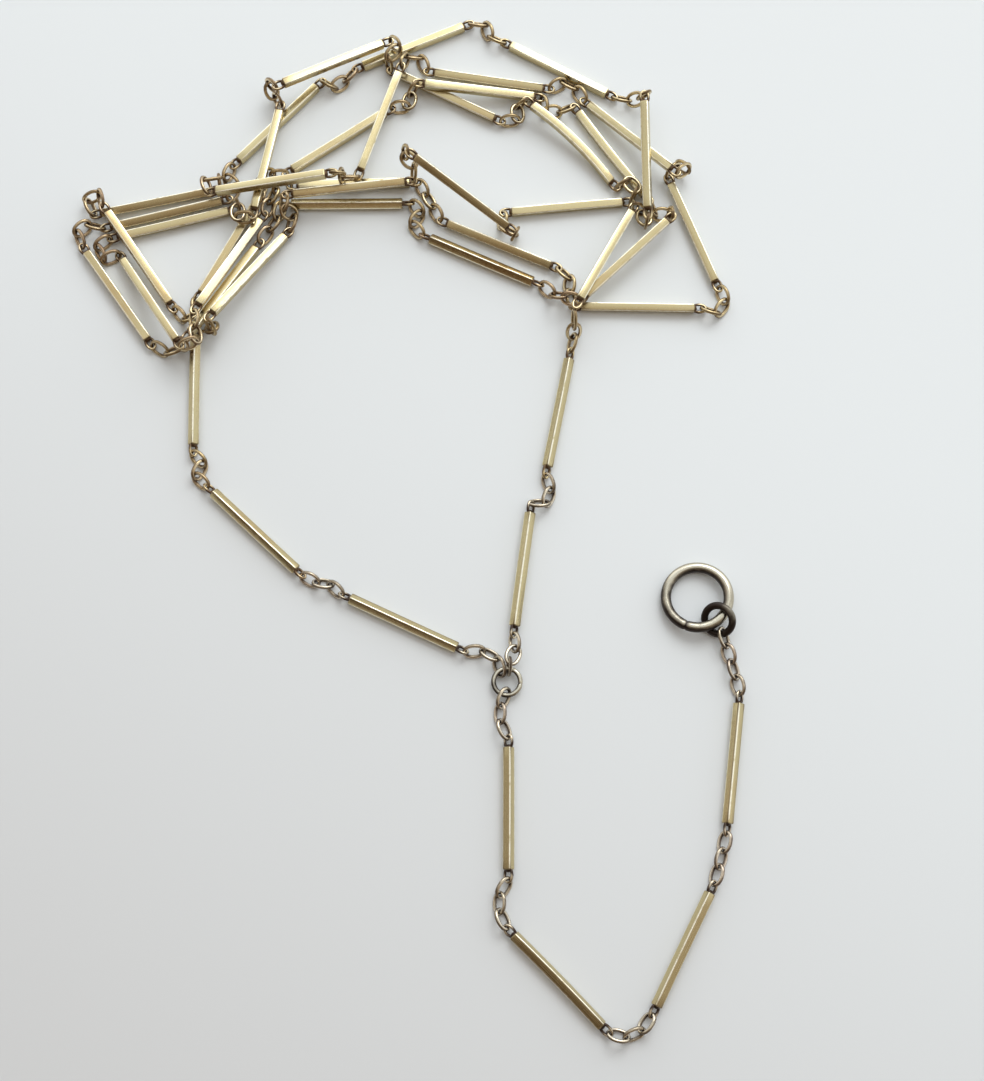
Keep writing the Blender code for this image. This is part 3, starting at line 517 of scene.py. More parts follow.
class Piece:
    """A settled bar or link: its joint points, and which of its ends run on inside one solid."""

    def __init__(self, piece, start, end, normal):
        self.name, _, self.is_bar = piece
        self.ends = np.array([start, end])
        self.normal = normal
        self.welded = [False, False]

    def pose(self):
        """Where the piece lies, at its middle; a link is lifted until it clears the surface."""
        ends = self.ends.copy()
        for _ in range(LIFT_ROUNDS):
            along = unit(ends[1] - ends[0])
            upright = unit(self.normal - along * np.dot(self.normal, along))
            level = np.cross(upright, along)
            if not self.is_bar:
                floor = floor_heights(False, level[None], upright[None])
                ends[:, 2] = np.maximum(ends[:, 2], floor)
        return Pose(ends.mean(axis=0), along, level, upright)

    def link(self):
        """Outline and pose of a link; a welded end is drawn in until it runs into the next wire."""
        half_gap = norm(self.ends[1] - self.ends[0]) / 2
        low, high = [half_gap - WELD if welded else LINK_LENGTH / 2 - LINK_WIRE
                     for welded in self.welded]
        pose = self.pose()
        pose.origin = pose.origin + pose.axes[0] * (high - low) / 2
        corners = WELDED_CORNERS if all(self.welded) else LINK_CORNERS
        return oval(low + high + LINK_WIRE, LINK_WIDTH - LINK_WIRE, corners), pose

    def end_line(self, far):
        """Middle line of the wire at one end: a link's own, or that of a bar's eye."""
        if not self.is_bar:
            return middle_line(*self.link())
        bar = self.pose()
        along, level, upright = bar.axes
        sign = 1 if far else -1
        eye = Pose(bar.origin + along * sign * BAR_LENGTH / 2, along * sign, level * sign, upright)
        return middle_line(eye_outline(WELD * self.welded[far]), eye, False)

    def ease(self, end, other, wire, gap, most=math.inf):
        """Shift one end of a link, by `most` at the most, until it clears another wire by a gap."""
        needed = (LINK_WIRE + wire) / 2 + gap
        home = self.ends[end].copy()
        for _ in range(EASE_ROUNDS):
            gaps = middle_line(*self.link())[:, None] - other[None]
            distance = norm(gaps, axis=2)
            nearest = np.unravel_index(distance.argmin(), distance.shape)
            short = needed - distance[nearest]
            moved = norm(self.ends[end] - home)
            if short <= 0 or moved >= most:
                break
            self.ends[end] += gaps[nearest] / distance[nearest] * min(short, EASE_STEP)


def in_groups(made, parted_one_by_one):
    """Groups of pieces that are one CAD solid each; a run is parted at its straightest joint."""
    if parted_one_by_one:
        return [[piece] for piece in made]
    along = unit(np.array([piece.ends[1] - piece.ends[0] for piece in made]))
    straightness = (along[1:] * along[:-1]).sum(axis=1)
    bars = [k for k, piece in enumerate(made) if piece.is_bar]
    cuts = [0]
    for this, following in zip(bars[:-1], bars[1:]):
        if made[following].name not in JOINED:
            cuts.append(this + 1 + int(straightness[this:following].argmax()))
    cuts.append(len(made))
    return [made[low:high] for low, high in zip(cuts[:-1], cuts[1:])]


def ease_joint(before, after, gap, most=math.inf):
    """Ease the link on one side of a joint away from the wire on the other."""
    if after.is_bar:
        before.ease(1, after.end_line(False), EYE_WIRE, gap, most)
    else:
        wire = EYE_WIRE if before.is_bar else LINK_WIRE
        after.ease(0, before.end_line(True), wire, gap, most)


def lift_tip(points, normals, tip):
    """Lay the last three links of the right arm again, from the arm's last bar up to its free tip.

    The first goes straight on from the bar, nearly on edge. The other two rise above the straight
    line to the tip, or lie along it where they don't reach it.
    """
    step = PITCH - SLACK
    first = points[-4] + unit(points[-4] - points[-5]) * step
    chord = tip - first
    chord *= min(1.0, 2 * step / norm(chord))
    level = unit(np.cross(chord, UP))
    height = math.sqrt(max(step ** 2 - np.dot(chord, chord) / 4, 0.0))
    rise = unit(np.cross(level, chord)) * height
    points[-3:] = first, first + chord / 2 + rise, first + chord
    for k in (-3, -2, -1):
        normals[k] = unit(np.cross(points[k] - points[k - 1], normals[k - 1]))
        if k == -3:
            normals[k] += level * ON_ITS_EDGE * np.sign(np.dot(normals[k], level))
            normals[k] /= norm(normals[k])


def lie_as_in_cad():
    """Settle the chains and ease their links; returns the ring shapes, and each node's pieces."""
    ring_shapes, hooks = rings()
    chains = [string_up(NECK_LOOP, hooks["left"]),
              string_up(RIGHT_ARM, hooks["right"], RIGHT_ARM_END, LINKS_PER_RUN),
              string_up(DROP, hooks["drop"], hooks["jump"], LINKS_TO_JUMP_RING)]
    settled = settle(chains)
    lift_tip(*settled[1], settled[0][0][-1] + TIP_FROM_EYE)
    found = []
    for index, ((points, normals), (_, pieces)) in enumerate(zip(settled, chains)):
        is_drop = index == len(chains) - 1
        made = [Piece(*row) for row in zip(pieces, points[:-1], points[1:], normals)]
        groups = in_groups(made, is_drop)
        for members in groups:
            for before, after in zip(members[:-1], members[1:]):
                before.welded[1] = True
                after.welded[0] = True
        wire, *shape = ring_shapes["y_ring"]
        made[0].ease(0, middle_line(*shape), wire, THREADED)
        joints = list(zip(made[:-1], made[1:]))
        for before, after in joints * EASE_PASSES[index]:
            if not before.welded[1]:
                ease_joint(before, after, THREADED)
        if is_drop:
            wire, *shape = ring_shapes["jump_ring"]
            made[-1].ease(1, middle_line(*shape), wire, THREADED)
        inside = [joint for joint in joints if joint[0].welded[1]]
        for piece in made:
            piece.welded = [False, False]
        for before, after in inside:
            ease_joint(before, after, INNER_GAP, INNER_MOVE)
        link_count = 0
        for members in groups:
            node = next((piece.name for piece in members if piece.is_bar), None)
            if node is None:
                link_count += 1
                node = f"drop_link_{link_count:02d}"
            found.append((node, members))
    return ring_shapes, found


# ---------------- surfaces

class Surface:
    """A closed surface on a grid, with how dirty and how rubbed each of its points is; the dirt is
    partly painted shade.

    `grid` is stations x around x 3 in the piece's own millimetres. If it is no `ring`, each end is
    closed with a fan about its middle. The UV map is the distance along and around.
    """

    def __init__(self, grid, dirt, wear, ring=False, finish=0):
        stations, around = grid.shape[:2]
        self.finish = finish
        verts = grid.reshape(-1, 3)
        dirt = np.broadcast_to(dirt, (stations, around)).reshape(-1)
        wear = np.broadcast_to(wear, (stations, around)).reshape(-1)
        i, j = np.mgrid[:stations if ring else stations - 1, :around]
        i = np.stack([i, i + 1, i + 1, i], axis=-1)
        j = np.stack([j, j, j + 1, j + 1], axis=-1)
        along = distances(grid[:, 0])
        if ring:
            along = np.append(along, 2 * along[-1] - along[-2])
        middle = grid[stations // 2]
        round_it = distances(np.vstack([middle, middle[:1]]))
        faces = [(i % stations * around + j % around).reshape(-1, 4)]
        uvs = [np.stack([along[i], round_it[j]], axis=-1).reshape(-1, 4, 2)]
        if not ring:
            for row, turn in ((0, 1), (stations - 1, -1)):
                middle = len(verts)
                verts = np.vstack([verts, grid[row].mean(axis=0)])
                dirt = np.append(dirt, dirt[row * around])
                wear = np.append(wear, wear[row * around])
                rim = row * around + np.arange(around)
                fan = np.stack([np.full(around, middle), rim, np.roll(rim, -1)], axis=1)[:, ::turn]
                faces.append(fan)
                uvs.append(np.full((around, 3, 2), along[row]))
        if signed_volume(verts, faces) < 0:
            faces = [face[:, ::-1] for face in faces]
            uvs = [uv[:, ::-1] for uv in uvs]
        self.verts, self.dirt, self.wear, self.faces, self.uvs = verts, dirt, wear, faces, uvs


def signed_volume(verts, faces):
    """Volume inside a closed mesh, negative if its faces point inwards."""
    total = 0.0
    for face in faces:
        for k in range(1, face.shape[1] - 1):
            a, b, c = verts[face[:, 0]], verts[face[:, k]], verts[face[:, k + 1]]
            total += (a * np.cross(b, c)).sum() / 6
    return total


def round_wire(path, radius, wear, dirt_in, dirt_out, dirt_all_round, sides, finish=0):
    """A round wire bent along a flat path: point + outward * r cos(a) + up * r sin(a).

    The dirt given for the inside is for the side that faces into the bend and is partly painted
    shade; `wear` is for the crests above and below.
    """
    ahead = unit(np.roll(path, -1, axis=0) - np.roll(path, 1, axis=0))
    outward = np.stack([ahead[:, 1], -ahead[:, 0], np.zeros(len(path))], axis=1)
    if (outward * (path - path.mean(axis=0))).sum() < 0:
        outward = -outward
    angle = 2 * math.pi * np.arange(sides) / sides
    cosine, sine = np.cos(angle), np.sin(angle)
    radius = np.broadcast_to(radius, len(path))[:, None, None]
    grid = path[:, None] + outward[:, None] * cosine[:, None] * radius + UP * sine[:, None] * radius
    dirt_in, dirt_out, everywhere = [np.reshape(dirt, (-1, 1))
                                     for dirt in (dirt_in, dirt_out, dirt_all_round)]
    # dirt and painted shade into the bend, and on the outer flank
    dirt = np.clip(-cosine, 0, 1) * dirt_in + np.clip(cosine, 0, 1) ** 2 * dirt_out
    return Surface(grid, np.clip(dirt + everywhere, 0, 1), sine ** 2 * wear, True, finish)


def blunt_oval(half_length, half_width):
    """|x / a|^n + |y / b|^n = 1, as x = a sgn(cos t) |cos t|^(2/n) and y likewise with sin t."""
    t = 2 * math.pi * (np.arange(WIRE_STATIONS) + 0.5) / WIRE_STATIONS
    x, y = np.cos(t), np.sin(t)
    power = 2 / LINK_BLUNTNESS
    return np.stack([half_length * np.sign(x) * abs(x) ** power,
                     half_width * np.sign(y) * abs(y) ** power, 0 * t], axis=1)


# ---------------- what each piece looks like

# Bars.
BAR_EDGE = 0.15  # rounding of a bar's long edges
BAR_CROWN = 0.025  # how far the middle of each side stands above its edges
BAR_END_ROUND = 0.22
BAR_TWIST = 2.5  # most that a bar is twisted from end to end, in degrees
BAR_ROLL = 2.5  # most that its sides are turned about its own length, by chance
BAR_BOW = 0.06  # most that a bar is bent sideways at its middle
BENT = {loop_bar(8): -0.8, loop_bar(28): -0.2, "drop_bar_2": 0.15}  # bars that are bent more
PAINTED_EDGE_SHADE = (0.0, 0.6)  # how dark the line of painted shade beside each edge is
PAINTED_RIDGE_SHADE = (0.3, 1.0)  # and the same on bars that lie with an edge up,
LEVEL_TOP = 0.93  # whose top side is less upright than this
PAINTED_SHADE_LINE = (1.0, 0.3)  # its share on the last point of a side, and on the edge's first
SIDE_POINTS = (-0.72, -0.45, 0.0, 0.5, 0.84)  # across a side, as a share of half its width
EDGE_STEPS = 4
BAR_STATIONS = 11
END_DIRT = (0.6, 0.3)  # on a bar's ends, and over what length it fades
SOLDER = (0.42, 0.70, 0.46)  # half sizes of the lump of solder that holds an eye
LUMP_STATIONS = 6
LUMP_SIDES = 10
LUMP_TIP = 0.12  # how far from its tips its first and last stations are, in radians

# How far the top side of a bar is turned towards the back (+Y), in degrees, from loop_bar_05 on.
TURNED = {loop_bar(number): turn for number, turn in enumerate((
    -14, -20, -6, -2, -14, 3, 2, -12, 0, -8, 4, -21, -11, -14, -6, -18, -16, 9, -22, 10, -12, 4,
    -3, -6, -10, -7, -8, 4, 0, -24, 4, 7, 8, -16, -12), 5)}

# Wires: a little stouter than the CAD model's, with about the same openings.
ROUND_LINK_WIRE = 0.63
ROUND_LINK_WIDTH = 3.0
ROUND_EYE_WIRE = 0.50
LINK_BLUNTNESS = 2.15
WIRE_STATIONS = 20
WIRE_SIDES = 8
LINK_VARIATION = 0.03
INNER_GAP = 0.0  # links inside one CAD solid are eased until their wires just touch,
INNER_MOVE = 0.25  # but moved no further than this

# Rings: diameter, wire, stations, sides, seam and shaded side in degrees from the ring's own x,
# dirt everywhere and how much more towards the shaded side, as painted shade, and wear.
ROUND_RINGS = {
    "y_ring": (5.3, 0.82, 72, 16, -8, 215, (0.1, 0.35), 0.6),
    "jump_ring": (6.2, 1.25, 72, 16, 150, 175, (1.0, 0.3), 0.45),
    "watch_ring": (12.3, 1.75, 120, 20, 118, 95, (0.05, 0.35), 0.5),
}
SEAM_WIDTH = 0.14  # of the soldered joint in each ring
SEAM_DEPTH = 0.30

# Dirt and wear of wires, from 0 for none to 1: inside the bend, outside it, all round, and wear.
# Inside the bend and outside it, the dirt is partly painted shade.
EYE_DIRT_AND_SHADE_IN = 0.75
EYE_DIRT_FOOT = (1.1, 1.2)  # where it enters the bar, and over what length it fades
EYE_WEAR = 0.6
LINK_DIRT_AND_SHADE_IN = (0.55, 0.45)  # along a link's sides, and how much more in its two bends
LINK_DIRT = (0.12, 0.18)
LINK_WEAR = 0.7
RING_DIRT_AND_SHADE_IN = (0.8, -0.3)  # dirt and painted shade on average, and how much more on the shaded side
# the same outside, darker towards the shaded side as painted shade
RING_DIRT_AND_SHADE_OUT = (0.6, 0.7)
DIRT_AND_SHADE_OUTSIDE = 0.55  # dirt and painted shade on the outer flank of eyes and links

# How much a bar or its links lean to copper; all others by chance, and more towards the left.
COPPERY = {loop_bar(30): 0.9, loop_bar(16): 0.5, "drop_bar_4": 0.4, loop_bar(29): 0.4}
TONE = 0.15
TONE_CHANCE = 0.25
TONE_PER_MM = 0.006
RING_TONE = 0.1
NEAR_Y_RING = (loop_bar(1), loop_bar(41))
FIRST_SEED = 1000
SEEDS_PER_NODE = 20


def square_section():
    """One turn round a bar: four crowned sides x = h - c (y / m)^2, with a quarter circle between.

    With it come how rubbed each point is, on the edges, and where a line of painted shade runs,
    along one flank of each.
    """
    half = BAR_WIDTH / 2
    flat = half - BAR_CROWN - BAR_EDGE
    y = np.array(SIDE_POINTS) * flat
    side = np.stack([half - BAR_CROWN * (y / flat) ** 2, y], axis=1)
    angle = np.linspace(0, math.pi / 2, EDGE_STEPS + 1)
    corner = flat + BAR_EDGE * np.stack([np.cos(angle), np.sin(angle)], axis=1)
    quarter = np.vstack([side, corner])
    rubbed = np.concatenate([np.zeros(len(side)), np.ones(len(corner))])
    edge_shade = np.zeros(len(quarter))
    edge_shade[len(side) - 1:len(side) + 1] = PAINTED_SHADE_LINE
    turns = [np.linalg.matrix_power(np.array([[0, 1], [-1, 0]]), k) for k in range(4)]
    section = np.vstack([quarter @ turn for turn in turns])
    return section, np.tile(rubbed - edge_shade, 4).clip(0), np.tile(edge_shade, 4)


def rod(name, pose, random):
    """A bar: its section carried along x, drawn in at the ends, turned and slightly twisted.

    Its middle is bent sideways by b (1 - (2 x / L)^2).
    """
    section, rubbed, edge_shade = square_section()
    angle = np.linspace(0, math.pi / 2, EDGE_STEPS + 1)
    end_x = BAR_LENGTH / 2 - BAR_END_ROUND * (1 - np.sin(angle))
    end_size = 1 - BAR_END_ROUND * (1 - np.cos(angle)) / (BAR_WIDTH / 2)
    middle = np.linspace(-1, 1, BAR_STATIONS)[1:-1] * end_x[0]
    x = np.concatenate([-end_x[::-1], middle, end_x])
    size = np.concatenate([end_size[::-1], np.ones(len(middle)), end_size])
    turn = random.uniform(-BAR_ROLL, BAR_ROLL) - TURNED.get(name, 0) * np.sign(pose.axes[1][1])
    twist = np.radians(random.uniform(-BAR_TWIST, BAR_TWIST) * x / BAR_LENGTH + turn)
    cosine, sine = np.cos(twist)[:, None], np.sin(twist)[:, None]
    y = section[:, 0] * cosine - section[:, 1] * sine
    z = section[:, 0] * sine + section[:, 1] * cosine
    bow = BENT.get(name, random.uniform(-BAR_BOW, BAR_BOW)) * (1 - (2 * x / BAR_LENGTH) ** 2)
    grid = np.stack([np.broadcast_to(x[:, None], y.shape), y * size[:, None] + bow[:, None],
                     z * size[:, None]], axis=2)
    from_end = BAR_LENGTH / 2 - abs(x)
    # real dirt on the bar's ends
    dirt = np.exp(-from_end / END_DIRT[1])[:, None] * END_DIRT[0]
    # painted shade: a dark line beside each edge, darker on bars that lie with an edge up
    line = edge_shade * random.uniform(*(PAINTED_EDGE_SHADE if pose.axes[2][2] > LEVEL_TOP else PAINTED_RIDGE_SHADE))
    return Surface(grid, np.clip(dirt + line, 0, 1), rubbed[None, :] * (1 - dirt))


def solder_lump(side):
    """An ellipsoid where an eye enters a bar: (a cos t, b sin t cos u, c sin t sin u)."""
    t = np.linspace(LUMP_TIP, math.pi - LUMP_TIP, LUMP_STATIONS)[:, None]
    angle = 2 * math.pi * np.arange(LUMP_SIDES)[None, :] / LUMP_SIDES
    a, b, c = SOLDER
    grid = np.stack([side * (BAR_LENGTH / 2 + a * np.cos(t) + 0 * angle),
                     b * np.sin(t) * np.cos(angle), c * np.sin(t) * np.sin(angle)], axis=2)
    return Surface(grid, 1.0, 0.0, finish=1)


def eye_wire(side):
    """The wire eye on one end of a bar: a blunt oval whose near end is let into the bar."""
    reach = EYE_REACH + ROUND_EYE_WIRE / 2
    path = blunt_oval((reach + EYE_ROOT) / 2, (EYE_WIDTH - EYE_WIRE) / 2)
    path[:, 0] += (reach - EYE_ROOT) / 2
    near_bar = np.clip(EYE_DIRT_FOOT[0] - path[:, 0] / EYE_DIRT_FOOT[1], 0, 1)
    path[:, 0] = side * (BAR_LENGTH / 2 + path[:, 0])
    # dirt and painted shade inside the eye and on its outer flank
    return round_wire(path, ROUND_EYE_WIRE / 2, EYE_WEAR, EYE_DIRT_AND_SHADE_IN, DIRT_AND_SHADE_OUTSIDE, near_bar,
                      WIRE_SIDES, finish=1)


def link_wire(random):
    """A link: round wire along a blunt oval, dirty and darkened with painted shade inside its two
    bends.
    """
    vary = 1 + LINK_VARIATION * random.uniform(-1, 1, 2)
    path = blunt_oval(LINK_LENGTH / 2 - LINK_WIRE + ROUND_LINK_WIRE / 2,
                      (ROUND_LINK_WIDTH - ROUND_LINK_WIRE) / 2 * vary[0])
    bends = abs(path[:, 0]) / path[:, 0].max()
    # dirt and painted shade inside the link's bends and on its outer flank
    return round_wire(path, ROUND_LINK_WIRE / 2 * vary[1], LINK_WEAR,
                      LINK_DIRT_AND_SHADE_IN[0] + LINK_DIRT_AND_SHADE_IN[1] * bends ** 2, DIRT_AND_SHADE_OUTSIDE,
                      LINK_DIRT[0] + LINK_DIRT[1] * bends ** 4, WIRE_SIDES)


def ring_wire(name):
    """A ring of round wire with the seam where it was closed, at its own bearing."""
    diameter, wire, stations, sides, seam, shaded_side, dirt, wear = ROUND_RINGS[name]
    angle = 2 * math.pi * np.arange(stations) / stations
    path = (diameter - wire) / 2 * np.stack([np.cos(angle), np.sin(angle), 0 * angle], axis=1)
    away = np.angle(np.exp(1j * (angle - math.radians(seam)))) * diameter / 2
    notch = np.exp(-(away / SEAM_WIDTH) ** 2)
    # painted shade: each ring is darker towards its shaded side, and cleaner, as a painted
    # highlight, on the other side
    shaded = np.cos(angle - math.radians(shaded_side))
    return round_wire(path, wire / 2 * (1 - SEAM_DEPTH * notch), wear,
                      RING_DIRT_AND_SHADE_IN[0] + RING_DIRT_AND_SHADE_IN[1] * shaded,
                      RING_DIRT_AND_SHADE_OUT[0] + RING_DIRT_AND_SHADE_OUT[1] * shaded,
                      np.clip(dirt[0] + dirt[1] * shaded + notch, 0, 1), sides)


def placed(name, data):
    """A new object in the scene."""
    made = bpy.data.objects.new(name, data)
    bpy.context.scene.collection.objects.link(made)
    return made


def shown(name, pose, surfaces, tone, node, finishes):
    """Make one piece from its surfaces where it lies, and let it ride for its CAD node."""
    verts, faces, uvs, finish, dirt, wear = [], [], [], [], [], []
    count = 0
    for surface in surfaces:
        for face, uv in zip(surface.faces, surface.uvs):
            faces.extend((face + count).tolist())
            uvs.append(uv.reshape(-1, 2))
            finish.extend([surface.finish] * len(face))
        verts.append(pose.points(surface.verts) * MM + SHIFT)
        dirt.append(surface.dirt)
        wear.append(surface.wear)
        count += len(surface.verts)
    mesh = bpy.data.meshes.new(name)
    mesh.from_pydata(np.vstack(verts).tolist(), [], faces)
    mesh.uv_layers.new(name="UVMap").data.foreach_set("uv", np.vstack(uvs).ravel())
    # The dirt attribute holds real dirt together with painted shade: in hollows, on wire flanks,
    # beside bar edges and on one side of each ring.
    for key, values in (("dirt", np.concatenate(dirt)), ("wear", np.concatenate(wear)),
                        ("tone", np.full(count, tone))):
        mesh.attributes.new(key, "FLOAT", "POINT").data.foreach_set("value", values)
    for material in finishes:
        mesh.materials.append(material)
    mesh.polygons.foreach_set("material_index", finish)
    mesh.shade_smooth()
    made = placed(name, mesh)
    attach(made, BODY_OF[node])
    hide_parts(node)


# ---------------- finishes

def add(tree, kind, inputs=None, **settings):
    """A new node; an input is given a value, or a socket to read."""
    made = tree.nodes.new("ShaderNode" + kind)
    for key, value in settings.items():
        setattr(made, key, value)
    for key, value in (inputs or {}).items():
        if isinstance(value, bpy.types.NodeSocket):
            tree.links.new(value, made.inputs[key])
        else:
            made.inputs[key].default_value = value
    return made


def new_material(name):
    """A material, its node tree and its shader."""
    made = bpy.data.materials.new(name)
    made.use_nodes = True
    return made, made.node_tree, made.node_tree.nodes["Principled BSDF"]


def scaled(tree, value, factor, plus=0.0):
    """value * factor + plus."""
    return add(tree, "Math", {0: value, 1: factor, 2: plus}, operation="MULTIPLY_ADD").outputs[0]


def noise(tree, place, scale, detail=1.0):
    return add(tree, "TexNoise", {"Vector": place, "Scale": scale, "Detail": detail}).outputs["Fac"]


def mix_colour(tree, factor, a, b, **settings):
    return add(tree, "Mix", {0: factor, 6: a, 7: b}, data_type="RGBA", **settings).outputs[2]


def ramp(tree, value, low, high):
    """0 below low and 1 above high, smooth between."""
    return add(tree, "MapRange", {"Value": value, "From Min": low, "From Max": high},
               interpolation_type="SMOOTHSTEP").outputs["Result"]


# What noise, dirt and painted shade, and wear do to the metal; each pair is where an effect starts
# and is full.
WAVE_SCALE = 170.0  # in waves per metre
BLOTCH_SCALE = 700.0
STREAK_SCALE = (0.12, 6.0, 1.0)  # along and around, per millimetre
FINE_DETAIL = 3.0
BROWN_FROM_DIRT_AND_SHADE = (0.2, 0.9)
BRIGHT_FROM_WEAR = (0.3, 1.0)
BRIGHT_PATCHES = (0.2, 0.5)
COPPER_FROM_TONE = (0.0, 1.2)
COPPER_PATCHES = 1.6
STREAK_ROUGHNESS = 0.14
BLOTCH_ROUGHNESS = 0.06
DIRT_AND_SHADE_ROUGHNESS = 0.12
DIRT_AND_SHADE_METAL = -0.4
WAVE_HEIGHT = 4.0
BLOTCH_HEIGHT = 0.25
BUMP_HEIGHT = 0.00001  # of each unit of the two, in metres


def worn_metal_group():
    """Old polished metal: rubbed bright where it stands proud, brown where dirt has stayed and
    where shade is painted.
    """
    tree = bpy.data.node_groups.new("worn_metal", "ShaderNodeTree")
    for side, kind, names in (("INPUT", "Color", ("Clean", "Copper", "Brown", "Rubbed")),
                              ("INPUT", "Float", ("Polish", "Spread")),
                              ("OUTPUT", "Color", ("Colour",)),
                              ("OUTPUT", "Float", ("Roughness", "Metal", "Height"))):
        for name in names:
            tree.interface.new_socket(name, in_out=side, socket_type="NodeSocket" + kind)
    read = tree.nodes.new("NodeGroupInput").outputs
    out = tree.nodes.new("NodeGroupOutput")
    dirt, wear, tone = [add(tree, "Attribute", attribute_name=key).outputs["Fac"]
                        for key in ("dirt", "wear", "tone")]
    place = add(tree, "TexCoord").outputs["Object"]
    flow = add(tree, "Mapping", {"Vector": add(tree, "UVMap", uv_map="UVMap").outputs["UV"],
                                 "Scale": STREAK_SCALE}).outputs["Vector"]
    waves = noise(tree, place, WAVE_SCALE)
    blotches = noise(tree, place, BLOTCH_SCALE, FINE_DETAIL)
    streaks = noise(tree, flow, 1.0, FINE_DETAIL)
    spread = scaled(tree, scaled(tree, blotches, 1.0, -0.5), read["Spread"], dirt)
    # brown where there is dirt, and where shade is painted
    brown = ramp(tree, spread, *BROWN_FROM_DIRT_AND_SHADE)
    rubbed = scaled(tree, ramp(tree, wear, *BRIGHT_FROM_WEAR),
                    ramp(tree, blotches, *BRIGHT_PATCHES))
    lean = scaled(tree, scaled(tree, waves, 1.0, -0.5), COPPER_PATCHES, tone)
    colour = mix_colour(tree, ramp(tree, lean, *COPPER_FROM_TONE), read["Clean"], read["Copper"])
    colour = mix_colour(tree, rubbed, colour, read["Rubbed"])
    colour = mix_colour(tree, brown, colour, read["Brown"])
    rough = scaled(tree, streaks, STREAK_ROUGHNESS, read["Polish"])
    rough = scaled(tree, blotches, BLOTCH_ROUGHNESS, rough)
    rough = scaled(tree, brown, DIRT_AND_SHADE_ROUGHNESS, rough)
    height = scaled(tree, waves, WAVE_HEIGHT, scaled(tree, blotches, BLOTCH_HEIGHT))
    metal = scaled(tree, brown, DIRT_AND_SHADE_METAL, 1.0)
    for value, socket in zip((colour, rough, metal, height), out.inputs):
        tree.links.new(value, socket)
    return tree


def worn_metal(name, polish, spread, bump, **colours):
    """A material that places the worn metal with its own colours."""
    made, tree, shader = new_material(name)
    values = {key.capitalize(): (*value, 1.0) for key, value in colours.items()}
    worn = add(tree, "Group", {"Polish": polish, "Spread": spread, **values}, node_tree=WORN_METAL)
    relief = add(tree, "Bump", {"Height": worn.outputs["Height"], "Strength": bump,
                                "Distance": BUMP_HEIGHT})
    for maker, socket, key in ((worn, "Colour", "Base Color"), (worn, "Roughness", "Roughness"),
                               (worn, "Metal", "Metallic"), (relief, "Normal", "Normal")):
        tree.links.new(maker.outputs[socket], shader.inputs[key])
    return made


WORN_METAL = worn_metal_group()
BAR_METAL = worn_metal(
    "pale_gilt", polish=0.16, spread=0.4, bump=0.5, clean=(0.60, 0.505, 0.285),
    copper=(0.54, 0.40, 0.20), brown=(0.13, 0.08, 0.04), rubbed=(0.97, 0.91, 0.74))
LINK_METAL = worn_metal(
    "link_gilt", polish=0.12, spread=0.6, bump=0.3, clean=(0.60, 0.465, 0.25),
    copper=(0.52, 0.37, 0.24), brown=(0.10, 0.055, 0.025), rubbed=(0.92, 0.82, 0.60))
# Its near-black brown deepens both the dirt and the painted shade in the hollows of these links.
DARK_LINK_METAL = worn_metal(
    "dark_link_gilt", polish=0.08, spread=0.6, bump=0.3, clean=(0.58, 0.49, 0.355),
    copper=(0.54, 0.42, 0.33), brown=(0.045, 0.025, 0.016), rubbed=(0.97, 0.90, 0.77))
RING_METAL = worn_metal(
    "ring_gilt", polish=0.12, spread=0.7, bump=0.4, clean=(0.50, 0.455, 0.345),
    copper=(0.46, 0.38, 0.30), brown=(0.03, 0.02, 0.015), rubbed=(0.90, 0.87, 0.76))


# ---------------- the pieces

ring_shapes, found = lie_as_in_cad()
BODY_OF = {node: body for body, nodes in frame["record"]["behaviour"]["bodies"].items()
           for node in nodes}
low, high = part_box("y_ring")
SHIFT = np.array((low + high) / 2) - ring_shapes["y_ring"][2].origin * MM

for number, (node, members) in enumerate(found):
    for k, piece in enumerate(members):
        random = np.random.default_rng(FIRST_SEED + SEEDS_PER_NODE * number + k)
        bar_name = piece.name.split("_link")[0].replace("_end", "")
        tone = random.uniform(-TONE_CHANCE, TONE_CHANCE) + TONE - TONE_PER_MM * piece.ends[0][0]
        tone = COPPERY.get(bar_name, tone)
        pose = piece.pose()
        wires = DARK_LINK_METAL if node.startswith("drop") or node in NEAR_Y_RING else LINK_METAL
        if piece.is_bar:
            surfaces = [rod(piece.name, pose, random)]
            for side in (-1, 1):
                surfaces += [solder_lump(side), eye_wire(side)]
            shown(piece.name + "_with_eyes", pose, surfaces, tone, node,
                  [BAR_METAL, wires])
        else:
            shown(piece.name, pose, [link_wire(random)], tone, node, [wires])

for name, (_, _, pose) in ring_shapes.items():
    shown(name + "_wire", pose, [ring_wire(name)], RING_TONE, name, [RING_METAL])


# ---------------- floor, light and camera

FLOOR_SIZE = 3.0
FLOOR_PAINTED_SHADE = (0.64, 0.635, 0.63, 1.0)  # painted shade, towards the lower left
FLOOR_PAINTED_LIGHT = (0.84, 0.87, 0.88, 1.0)  # painted light, towards the upper right
FLOOR_PAINTED_LIGHT_RAMP = (-0.20, 0.08)  # from the one to the other, by y + slant x, in metres
FLOOR_SLANT = 0.6
FLOOR_ROUGHNESS = 0.9
FLOOR_SPECULAR = 0.1


